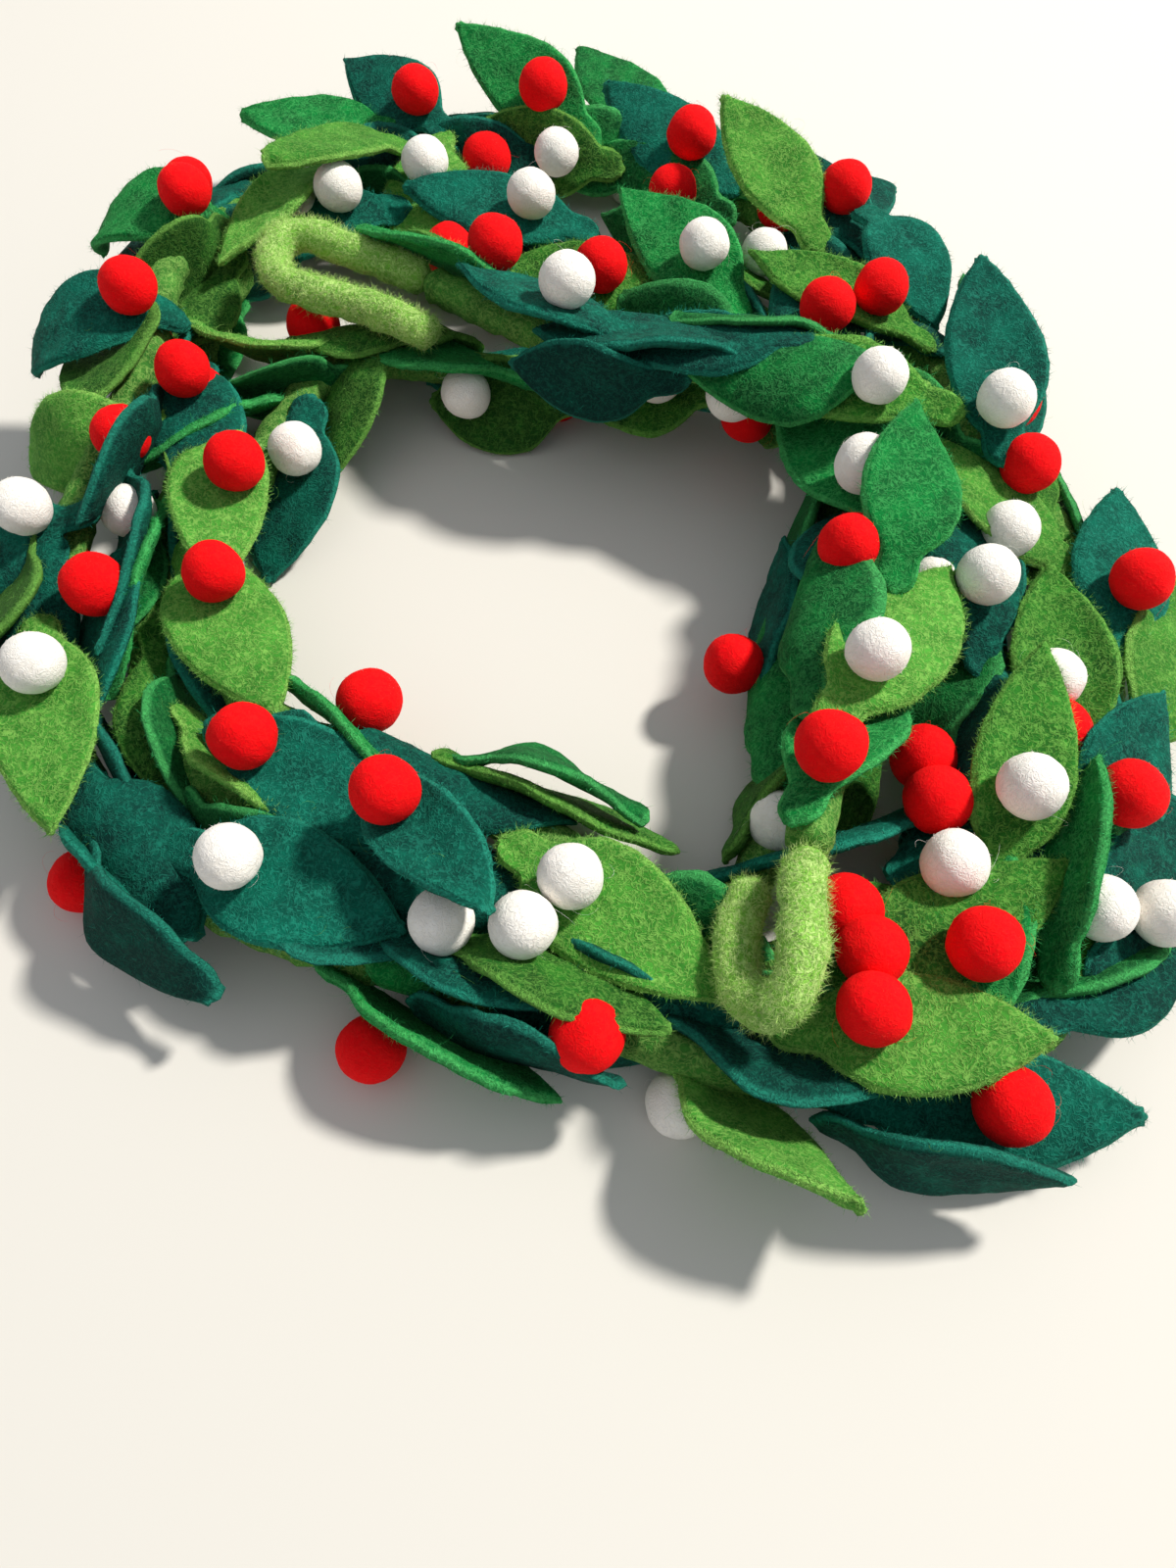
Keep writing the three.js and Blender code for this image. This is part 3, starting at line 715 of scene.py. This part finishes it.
def settleLeaves():
    count = len(leaves)
    x, y = [g.ravel() for g in np.meshgrid(
        np.linspace(0, 1, settle["along"]), np.linspace(-1, 1, settle["across"]), indexing="ij")]
    rest, ways = [], []
    for row in leaves:
        s = x * row["length"]
        v = y * halfWidth(row, s)
        rest.append(bentPoints(row, s, v, x * 0))
        ways.append(moveTerms(row, s, v))
    rest, ways = np.stack(rest), np.stack(ways)
    flatWays = ways.reshape(count, -1, ways.shape[-1])
    stiff = np.diag([settle["slide"]] * 2 + list(settle["bend"]))
    fit = np.linalg.solve(flatWays.transpose(0, 2, 1) @ flatWays + stiff, flatWays.transpose(0, 2, 1))
    moves = np.zeros((count, ways.shape[-1]))
    weight = np.array([settle["weight"][row["group"]] for row in leaves])
    most = np.array([settle["most"][row["group"]] for row in leaves])[:, None, None]
    balled = np.array([i for i, row in enumerate(leaves) if row["ball"]])
    ballRest = np.stack([ballMiddle(leaves[i]) for i in balled])
    ballWays = np.stack([moveTerms(leaves[i], leaves[i]["ballS"], leaves[i]["ballV"]) for i in balled])
    ballNodes = [
        np.argsort(np.linalg.norm(rest[i] - spot, axis=1))[:settle["ballNodes"]]
        for i, spot in zip(balled, ballRest)]
    paths = [core, *loops.values()]
    cord = np.concatenate([path.at(np.arange(0, path.length, settle["cordStep"])) for path in paths])
    low, high = rest.min(1), rest.max(1)
    reach = settle["near"]
    near = ((low[:, None] - reach < high[None]) & (high[:, None] + reach > low[None])).all(-1)
    np.fill_diagonal(near, False)
    first, second = np.nonzero(near)
    side = np.zeros(len(first))
    share = weight[second] / (weight[first] + weight[second])
    reach = settle["cordNear"]
    beside = [
        np.nonzero(((cord > low[i] - reach) & (cord < high[i] + reach)).all(1))[0]
        for i in range(count)]
    felt = leaf["felt"] + settle["gap"]
    for _ in range(settle["rounds"]):
        moved = np.einsum("lpck,lk->lpc", ways, moves)
        net = rest + moved
        push, deepest = pushLeaves(net, first, second, side, share)
        for i in range(count):
            if len(beside[i]):
                push[i] += pushFromCord(net[i], cord[beside[i]], rope["radius"] + felt / 2)
        push[..., 2] += (felt / 2 - net[..., 2]).clip(0)
        spot = ballRest + np.einsum("bck,bk->bc", ballWays, moves[balled])
        ballPush = pushFromCord(spot, cord, rope["radius"] + leaf["ball"])
        apart = spot[:, None] - spot[None]
        far = np.linalg.norm(apart, axis=-1) + np.eye(len(balled))
        into = (2 * leaf["ball"] - far).clip(0) * (1 - np.eye(len(balled)))
        ballPush += (apart / far[:, :, None] * into[:, :, None]).sum(1) * 0.5
        ballPush[:, 2] += (leaf["ball"] - spot[:, 2]).clip(0)
        offset = net.reshape(1, -1, 3) - spot[:, None]
        far = np.linalg.norm(offset, axis=-1)
        owner = np.repeat(np.arange(count), net.shape[1])
        into = (leaf["ball"] + felt / 2 - far).clip(0) * (owner[None] != balled[:, None])
        give = weight[balled][:, None] / (weight[balled][:, None] + weight[owner][None])
        shove = offset / far[:, :, None].clip(1e-6) * into[:, :, None]
        push += (shove * give[:, :, None]).sum(0).reshape(net.shape)
        ballPush -= (shove * (1 - give)[:, :, None]).sum(1) / np.maximum((into > 0).sum(1), 1)[:, None]
        for k, i in enumerate(balled):
            push[i][ballNodes[k]] += ballPush[k]
        target = moved + push * settle["eager"]
        size = np.linalg.norm(target, axis=-1, keepdims=True).clip(1e-9)
        target *= np.minimum(1, most / size)
        moves = np.einsum("lkp,lp->lk", fit, target.reshape(count, -1))
    shift = np.linalg.norm(np.einsum("lpck,lk->lpc", ways, moves), axis=-1) / mm
    print("settled, mm deep", round(deepest / mm, 2), "moved", round(shift.mean(), 2))
    return moves


for row in leaves:
    row["ballS"] = np.array(leaf["tab"] + leaf["blade"] * row["size"] * row["ballAt"])
    row["ballV"] = np.array(row["ballAside"] * mm)
for row, moves in zip(leaves, settleLeaves()):
    row["moves"] = moves


def settledPoints(row, s, v, n):
    return bentPoints(row, s, v, n) + moveTerms(row, s, v) @ row["moves"]


# ---- a smooth unevenness for felt, from a few waves at once
swell = {"waves": 12, "spread": (0.7, 1.5), "level": 3.5}


def unevenness(points, size, seed):
    rng = np.random.default_rng(seed)
    total = np.zeros(len(points))
    for _ in range(swell["waves"]):
        way = rng.normal(size=3)
        way *= 2 * math.pi / (size * rng.uniform(*swell["spread"]) * np.linalg.norm(way))
        total += np.sin(points @ way + rng.uniform(0, 6.28))
    return total / swell["level"]


def inOrder(parts, middle):
    # bmesh makes some parts in an order that varies, so they are put in order of place
    def key(part):
        x, y, z = [round(c * 1000) for c in middle(part)]
        return (x * 100000 + y) * 100000 + z
    parts.sort(key=key)


def meshFrom(bm, name):
    inOrder(bm.verts, lambda vert: vert.co)
    inOrder(bm.faces, lambda face: face.calc_center_median())
    mesh = bpy.data.meshes.new(name)
    bm.to_mesh(mesh)
    bm.free()
    return mesh


def blankMesh(alongCells, acrossCells):
    # a leaf's felt as a closed slab over unit shares: x 0 to 1, y -1 to 1, z -1 to 1
    bm = bmesh.new()
    bmesh.ops.create_grid(bm, x_segments=alongCells, y_segments=acrossCells, size=0.5)
    bmesh.ops.translate(bm, vec=(0.5, 0, -1), verts=bm.verts)
    bmesh.ops.scale(bm, vec=(1, 2, 1), verts=bm.verts)
    grown = bmesh.ops.extrude_face_region(bm, geom=bm.faces[:], use_keep_orig=True)
    top = [g for g in grown["geom"] if isinstance(g, bmesh.types.BMVert)]
    bmesh.ops.translate(bm, vec=(0, 0, 2), verts=top)
    upright = [e for e in bm.edges if abs(e.verts[0].co.z - e.verts[1].co.z) > 1]
    bmesh.ops.subdivide_edges(bm, edges=upright, cuts=2, use_grid_fill=True)
    for vert in bm.verts:
        vert.co.y = math.sin(vert.co.y * math.pi / 2)
        vert.co.x = 0.6 * vert.co.x + 0.2 * (1 - math.cos(vert.co.x * math.pi))
    bmesh.ops.recalc_face_normals(bm, faces=bm.faces)
    return meshFrom(bm, "blank")


def numbersOf(items, kind, width):
    # one list of numbers of a mesh, such as its points' places, as an array
    flat = np.empty(len(items) * width, np.int32 if kind.startswith("vert") else np.float32)
    items.foreach_get(kind, flat)
    return flat.reshape(-1, width)


def pointsOf(mesh):
    return numbersOf(mesh.vertices, "co", 3).astype(float)


def shapeOf(bm, name):
    # a small shape's points and triangles, to be copied many times
    mesh = meshFrom(bm, name)
    return pointsOf(mesh), numbersOf(mesh.loops, "vertex_index", 1).reshape(-1, 3)


def newPiece(name, mesh, dye, slotName):
    mesh.name = name
    mesh.materials.clear()
    mesh.materials.append(feltOf[dye])
    mesh.shade_smooth()
    piece = newObject(name, mesh)
    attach(piece, "root")
    return piece


def cutArea(row):
    s = (np.arange(200) + 0.5) / 200 * row["length"]
    return float(2 * halfWidth(row, s).mean() * row["length"])


# How far a leaf's felt strays from a flat, sharp cut: heights, then sizes of lumps.
cut = {
    "bulge": 0.75 * mm, "fray": 0.18 * mm, "lump": 0.22 * mm, "fine": 0.10 * mm, "ends": 0.8 * mm,
    "fraySize": 5 * mm, "lumpSize": 9 * mm, "fineSize": 3.2 * mm,
    "wave": 1.6, "lift": 1.2,                           # of the edges, in mm
    "lowest": 0.55,       # share of the felt's thickness that its middle keeps off the floor
}


def makeLeaf(row, blank):
    mesh = blank.copy()
    x, y, z = pointsOf(mesh).T
    rng = row["rng"]
    s = x * row["length"]
    half = halfWidth(row, s)
    v = y * half
    onSide = abs(y) > 0.999
    onEnd = (x > 0.999) * 1.0 - (x < 0.001)
    inner = np.minimum((half - abs(v)) * 1.05, np.minimum(s, row["length"] - s) * 1.2)
    rounding = np.clip(1 - inner / leaf["rim"], 0, 1)
    ease = cut["bulge"] * (1 - z * z)
    flat = np.stack([s, v, z * 0], -1)
    fray = cut["fray"] * unevenness(flat + z[:, None] * 0.002, cut["fraySize"], rng.integers(9999))
    v = v + np.sign(y) * onSide * (ease + fray)
    s = s + onEnd * (ease + cut["ends"] * (1 - y * y))
    lumps = unevenness(flat, cut["lumpSize"], rng.integers(9999))
    fine = unevenness(flat + z[:, None] * 0.01, cut["fineSize"], rng.integers(9999))
    thick = leaf["felt"] / 2 * (0.5 + 0.5 * (1 - rounding ** 2) ** 0.5)
    sway = rng.uniform(-1, 1, 4)
    waves = np.sin(x * math.pi * 2 * (0.8 + 0.5 * abs(sway[0])) + sway[1] * 3)
    edge = (waves * sway[2] * cut["wave"] * mm + sway[3] * cut["lift"] * mm * x) * y * abs(y)
    n = z * (thick + cut["fine"] * fine) + cut["lump"] * lumps + edge
    placed = settledPoints(row, s, v, n)
    middle = settledPoints(row, s, v, n * 0)[:, 2]
    placed[:, 2] += (leaf["felt"] * cut["lowest"] - middle).clip(0) * 0.9
    placed[:, 2] = placed[:, 2].clip(0)
    mesh.vertices.foreach_set("co", placed.astype(np.float32).ravel())
    # rim marks the cut edges, which the felt lightens as a painted highlight; tone carries the leaf's painted
    # shade and its random tone
    paintedShadeAndTone = np.full(len(placed), row["tone"])
    for name, values in (("rim", onSide | (onEnd != 0)), ("tone", paintedShadeAndTone)):
        mesh.attributes.new(name, "FLOAT", "POINT").data.foreach_set("value", values.astype(np.float32))
    mesh.update()
    piece = newPiece("felt_" + row["name"], mesh, row["felt"], row["felt"] + "_felt")
    cutArea(row)
    if row["group"] == "leaf":
        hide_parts(row["name"])
    return piece


cells = {"leaf": (44, 16), "under_leaf": (32, 12), "side_leaf": (28, 10), "over_leaf": (28, 12)}
blanks = {group: blankMesh(*count) for group, count in cells.items()}


# ---- the rope and its loops
def makeRope(name, path, node, dye):
    curve = bpy.data.curves.new(name, "CURVE")
    curve.dimensions = "3D"
    curve.bevel_depth = rope["radius"] * rope["slim"][dye]
    curve.bevel_resolution = rope["sides"] // 4 - 1
    curve.use_fill_caps = True
    runs = np.linspace(0, path.length, int(path.length / rope["step"]))
    points = path.at(runs)
    spline = curve.splines.new("POLY")
    spline.points.add(len(points) - 1)
    spline.points.foreach_set("co", np.c_[points, np.ones(len(points))].ravel())
    ends = np.minimum(runs, path.length - runs) / rope["endRound"]
    girth = (1 - (1 - ends.clip(0, 1)) ** 2 * rope["endTaper"]) * (1 + 0.03 * unevenness(points, 16 * mm, 77))
    spline.points.foreach_set("radius", girth)
    holder = newObject(name + "_curve", curve)
    bpy.context.view_layer.update()
    mesh = bpy.data.meshes.new_from_object(holder)
    bpy.data.objects.remove(holder)
    bm = bmesh.new()
    bm.from_mesh(mesh)
    bmesh.ops.remove_doubles(bm, verts=bm.verts, dist=1e-6)
    bmesh.ops.recalc_face_normals(bm, faces=bm.faces)
    bm.to_mesh(mesh)
    bm.free()
    place = pointsOf(mesh)
    lump = sum(high * unevenness(place, size, seed) for high, size, seed in rope["lumps"])
    place += numbersOf(mesh.vertices, "normal", 3) * lump[:, None]
    mesh.vertices.foreach_set("co", place.astype(np.float32).ravel())
    mesh.update()
    piece = newPiece(name, mesh, dye, "rope_felt")
    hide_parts(node)
    return piece


# the rope takes the rope dye, the loops' felt painted darker as shade; the loops keep the loop dye
pieces = {"garland_rope": makeRope("garland_rope", core, "core", "rope")}
for name, loop in loops.items():
    pieces[name + "_rope"] = makeRope(name + "_rope", loop, name, "loop")
for row in leaves:
    pieces[row["name"]] = makeLeaf(row, blanks[row["group"]])
print("leaf meshes made")


# ---- balls, each a little out of round, joined by their dye
balls = {
    "size": {"red": 1.0, "white": 0.93},
    "vary": (0.96, 1.03),
    "bumps": ((0.022, 11 * mm), (0.006, 3 * mm)),       # height as a share, and size
}


def makeBalls(dye):
    bm = bmesh.new()
    bmesh.ops.create_icosphere(bm, subdivisions=4, radius=1)
    ball, faces = shapeOf(bm, "ball")
    own = [row for row in leaves if row["ball"] == dye]
    places = []
    for row in own:
        rng = row["rng"]
        shift = moveTerms(row, row["ballS"], row["ballV"]) @ row["moves"]
        size = leaf["ball"] * rng.uniform(*balls["vary"]) * balls["size"][dye]
        bumps = 1
        for high, across in balls["bumps"]:
            bumps = bumps + high * unevenness(ball * leaf["ball"], across, rng.integers(9999))
        places.append(ball * bumps[:, None] * size + ballMiddle(row) + shift)
    places = np.stack(places)
    places[..., 2] = places[..., 2].clip(0)
    piece = newPiece(dye + "_balls", joinedCopies(dye + "_balls", places, faces), dye, dye + "_felt")
    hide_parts(*[row["name"] for row in own if row["group"] == "leaf"])
    return piece


def joinedCopies(name, places, faces):
    # many placed copies of one small shape, as one mesh
    count, size = places.shape[:2]
    mesh = bpy.data.meshes.new(name)
    mesh.vertices.add(count * size)
    mesh.vertices.foreach_set("co", places.astype(np.float32).ravel())
    corners = (faces[None] + np.arange(count)[:, None, None] * size).ravel()
    mesh.loops.add(len(corners))
    mesh.loops.foreach_set("vertex_index", corners.astype(np.int32))
    mesh.polygons.add(len(corners) // 3)
    mesh.polygons.foreach_set("loop_start", np.arange(0, len(corners), 3, dtype=np.int32))
    mesh.update(calc_edges=True)
    return mesh


for dye in ("red", "white"):
    pieces[dye + "_balls"] = makeBalls(dye)
print("balls made")


# ---- short fibres that stand off the felt, and stray long hairs, joined by their dye
fuzz = {
    "thin": 0.056 * mm,
    "leaf": {"count": 19000, "long": (0.8, 2.6), "lift": 0.42, "rim": 9.0},
    "ball": {"count": 5000, "long": (0.4, 1.3), "lift": 0.5, "rim": 0.0},
    "rope": {"count": 3500, "long": (1.0, 2.6), "lift": 0.6, "rim": 0.0},
    "loop": {"count": 10000, "long": (1.0, 3.4), "lift": 0.75, "rim": 0.0},
    "unseen": 0.12,       # share of fibres kept where felt faces down
    "sunk": 0.12,         # mm that a fibre's root lies in the felt
    "liftVary": (0.2, 1.8),
    "rimLift": 1.6,
    "share": {"under_leaf": 0.40, "side_leaf": 0.25, "over_leaf": 0.7},
    "seed": 21,
}
hair = {
    "thin": 0.026 * mm,
    "long": (3.5, 9.0),
    "steps": 9,
    "count": 120,
    "lift": (0.2, 1.3),
    "bend": 4.5,
    "droop": 1.7,
    "stray": {"teal": "moss", "moss": "lime"},          # dyes that show another dye's hairs
}


def fibreShape(name, tip, steps):
    # one upright fibre: x, y over its thickness, z from 0 to 1 along it in some steps
    bm = bmesh.new()
    bmesh.ops.create_cone(bm, cap_ends=True, segments=3, radius1=1, radius2=tip, depth=1)
    bmesh.ops.translate(bm, vec=(0, 0, 0.5), verts=bm.verts)
    if steps > 1:
        upright = [e for e in bm.edges if abs(e.verts[0].co.z - e.verts[1].co.z) > 0.5]
        bmesh.ops.subdivide_edges(bm, edges=upright, cuts=steps - 1, use_grid_fill=True)
    bmesh.ops.triangulate(bm, faces=bm.faces)
    bmesh.ops.recalc_face_normals(bm, faces=bm.faces)
    return shapeOf(bm, name)


def surfaceOf(names):
    # all triangles of some pieces, with each one's area and how far it is a cut edge
    corners, edges, shares = [], [], []
    for name in names:
        mesh = pieces[name].data
        mesh.calc_loop_triangles()
        which = numbersOf(mesh.loop_triangles, "vertices", 3)
        rim = np.zeros(len(mesh.vertices), np.float32)
        if "rim" in mesh.attributes:
            mesh.attributes["rim"].data.foreach_get("value", rim)
        corners.append(pointsOf(mesh)[which])
        edges.append(rim[which].mean(1))
        shares.append(np.full(len(which), fuzz["share"].get(name.rsplit("_", 1)[0], 1.0)))
    corners = np.concatenate(corners)
    normal = np.cross(corners[:, 1] - corners[:, 0], corners[:, 2] - corners[:, 0])
    size = np.linalg.norm(normal, axis=1)
    normal = normal / size[:, None].clip(1e-12)
    return corners, normal, size * np.concatenate(shares), np.concatenate(edges)


def unit(v):
    return v / np.linalg.norm(v, axis=-1, keepdims=True).clip(1e-12)


def rootsOn(names, count, rim, rng):
    # places on some pieces, thick on cut edges and thin where the felt faces down
    corners, normals, area, edge = surfaceOf(names)
    seen = fuzz["unseen"] + (1 - fuzz["unseen"]) * (normals[:, 2] * 0.9 + 0.55).clip(0, 1)
    weight = area * (1 + rim * edge) * seen
    pick = rng.choice(len(area), count, p=weight / weight.sum())
    mix = rng.dirichlet((1, 1, 1), count)
    root = (corners[pick] * mix[:, :, None]).sum(1) - normals[pick] * fuzz["sunk"] * mm
    slant = rng.normal(size=root.shape)
    slant = unit(slant - normals[pick] * (slant * normals[pick]).sum(1)[:, None])
    return root, normals[pick], slant, edge[pick][:, None]


def sweepAlong(shape, spine, thin, across):
    # copies of a fibre, each swept along its own line of points
    points, faces = shape
    level = np.rint(points[:, 2] * (spine.shape[1] - 1)).astype(int)
    sideA, sideB = across
    places = spine[:, level] + thin * (
        sideA[:, None] * points[None, :, 0:1] + sideB[:, None] * points[None, :, 1:2])
    places[..., 2] = places[..., 2].clip(0.0002)
    return places, faces


def fibrePiece(name, dye, places, faces):
    slotName = dye.replace("loop", "rope") + "_felt"
    newPiece(name, joinedCopies(name, places, faces), dye + "_fibres", slotName)


spike = fibreShape("spike", 0, 1)
curl = fibreShape("hair", 0.6, hair["steps"])


def makeFuzz(name, dye, names, spec, rng):
    root, normal, slant, edge = rootsOn(names, spec["count"], spec["rim"], rng)
    lift = spec["lift"] * rng.uniform(*fuzz["liftVary"], (len(root), 1)) * (1 + fuzz["rimLift"] * edge)
    out = unit(normal * lift + slant)
    long = rng.uniform(*spec["long"], (len(root), 1)) * mm
    sideA = unit(np.cross(out, normal + slant * 0.3))
    across = (sideA, np.cross(out, sideA))
    spine = np.stack([root, root + out * long], 1)
    fibrePiece(name, dye, *sweepAlong(spike, spine, fuzz["thin"], across))


def makeHairs(name, dye, names, rng):
    root, normal, slant, _ = rootsOn(names, hair["count"], 1.0, rng)
    aside = np.cross(normal, slant)
    long = rng.uniform(*hair["long"], (len(root), 1)) * mm
    bend = rng.uniform(-hair["bend"], hair["bend"], (len(root), 1))
    lift = rng.uniform(*hair["lift"], (len(root), 1))
    spine = [root]
    for k in range(hair["steps"]):
        t = (k + 0.5) / hair["steps"]
        up = normal * lift * (1 - hair["droop"] * t)
        way = slant * np.cos(bend * t) + aside * np.sin(bend * t) + up
        spine.append(spine[-1] + unit(way) * long / hair["steps"])
    across = (unit(normal + aside * 0.3), unit(np.cross(slant, normal)))
    fibrePiece(name, dye, *sweepAlong(curl, np.stack(spine, 1), hair["thin"], across))


rng = np.random.default_rng(fuzz["seed"])
loopPieces = ["start_loop_rope", "end_loop_rope"]
# the rope's fibres share the rope dye's painted shade
makeFuzz("rope_fuzz", "rope", ["garland_rope"], fuzz["rope"], rng)
makeFuzz("loop_fuzz", "loop", loopPieces, fuzz["loop"], rng)
makeHairs("loop_hairs", "loop", [*loopPieces, "garland_rope"], rng)
for dye in ("lime", "emerald", "teal", "moss"):
    own = [row["name"] for row in leaves if row["felt"] == dye]
    makeFuzz(dye + "_fuzz", dye, own, fuzz["leaf"], rng)
    makeHairs(dye + "_hairs", hair["stray"].get(dye, dye), own, rng)
for dye in ("red", "white"):
    makeFuzz(dye + "_fuzz", dye, [dye + "_balls"], fuzz["ball"], rng)
    makeHairs(dye + "_hairs", dye, [dye + "_balls"], rng)
print("fuzz made")


# ---- a plain pale floor, soft lamps and a pale room
stage = {
    "floor": "#dcd8d0",
    "reach": 6.0,
    "under": 0.0002,
    "room": 0.43,
    "sky": (0.88, 0.93, 1.0, 1.0),
    "lamps": {
        "key_lamp": {"place": (1.9, 0.9, 2.3), "size": 0.34, "power": 132.0, "colour": (1.0, 0.97, 0.91)},
        "fill_lamp": {"place": (-0.9, -0.7, 1.1), "size": 1.2, "power": 0.5, "colour": (0.94, 0.97, 1.0)},
    },
}


def makeFloor():
    bm = bmesh.new()
    bmesh.ops.create_circle(bm, cap_ends=True, segments=64, radius=stage["reach"])
    bmesh.ops.translate(bm, vec=(0, 0, -stage["under"]), verts=bm.verts)
    mesh = meshFrom(bm, "floor")
    m = shader("floor_paper")
    paper = m.add("ShaderNodeBsdfPrincipled", Base_Color=paint(stage["floor"]), Roughness=0.9)
    mesh.materials.append(m.finished(paper))
    newObject("floor", mesh)


def makeLamp(name, spec):
    data = bpy.data.lights.new(name, "AREA")
    data.shape = "DISK"
    data.size = spec["size"]
    data.energy = spec["power"]
    data.color = spec["colour"]
    lamp = newObject(name, data)
    lamp.location = spec["place"]
    lamp.rotation_euler = (-Vector(spec["place"])).to_track_quat("-Z", "Y").to_euler()


def makeRoom():
    # the camera and sharp reflections see the floor's colour, and the rest is lit by the sky
    world = bpy.data.worlds.new("room")
    world.use_nodes = True
    bpy.context.scene.world = world
    tree = world.node_tree
    tree.nodes.clear()
    path = tree.nodes.new("ShaderNodeLightPath").outputs
    direct, glossy, clear = [
        wire(tree, path[kind]) for kind in ("Is Camera Ray", "Is Glossy Ray", "Is Transmission Ray")]
    mix = tree.nodes.new("ShaderNodeMixShader")
    feed(tree, mix.inputs[0], direct.atLeast(glossy.atLeast(clear)))
    shades = ((stage["sky"], stage["room"]), (paint(stage["floor"]), 1.0))
    for slot, (colour, strength) in zip(mix.inputs[1:], shades):
        backdrop = tree.nodes.new("ShaderNodeBackground")
        backdrop.inputs["Color"].default_value = colour
        backdrop.inputs["Strength"].default_value = strength
        tree.links.new(backdrop.outputs[0], slot)
    output = tree.nodes.new("ShaderNodeOutputWorld")
    tree.links.new(mix.outputs[0], output.inputs["Surface"])


makeFloor()
for name, spec in stage["lamps"].items():
    makeLamp(name, spec)
makeRoom()
bpy.context.scene.view_settings.view_transform = "Standard"
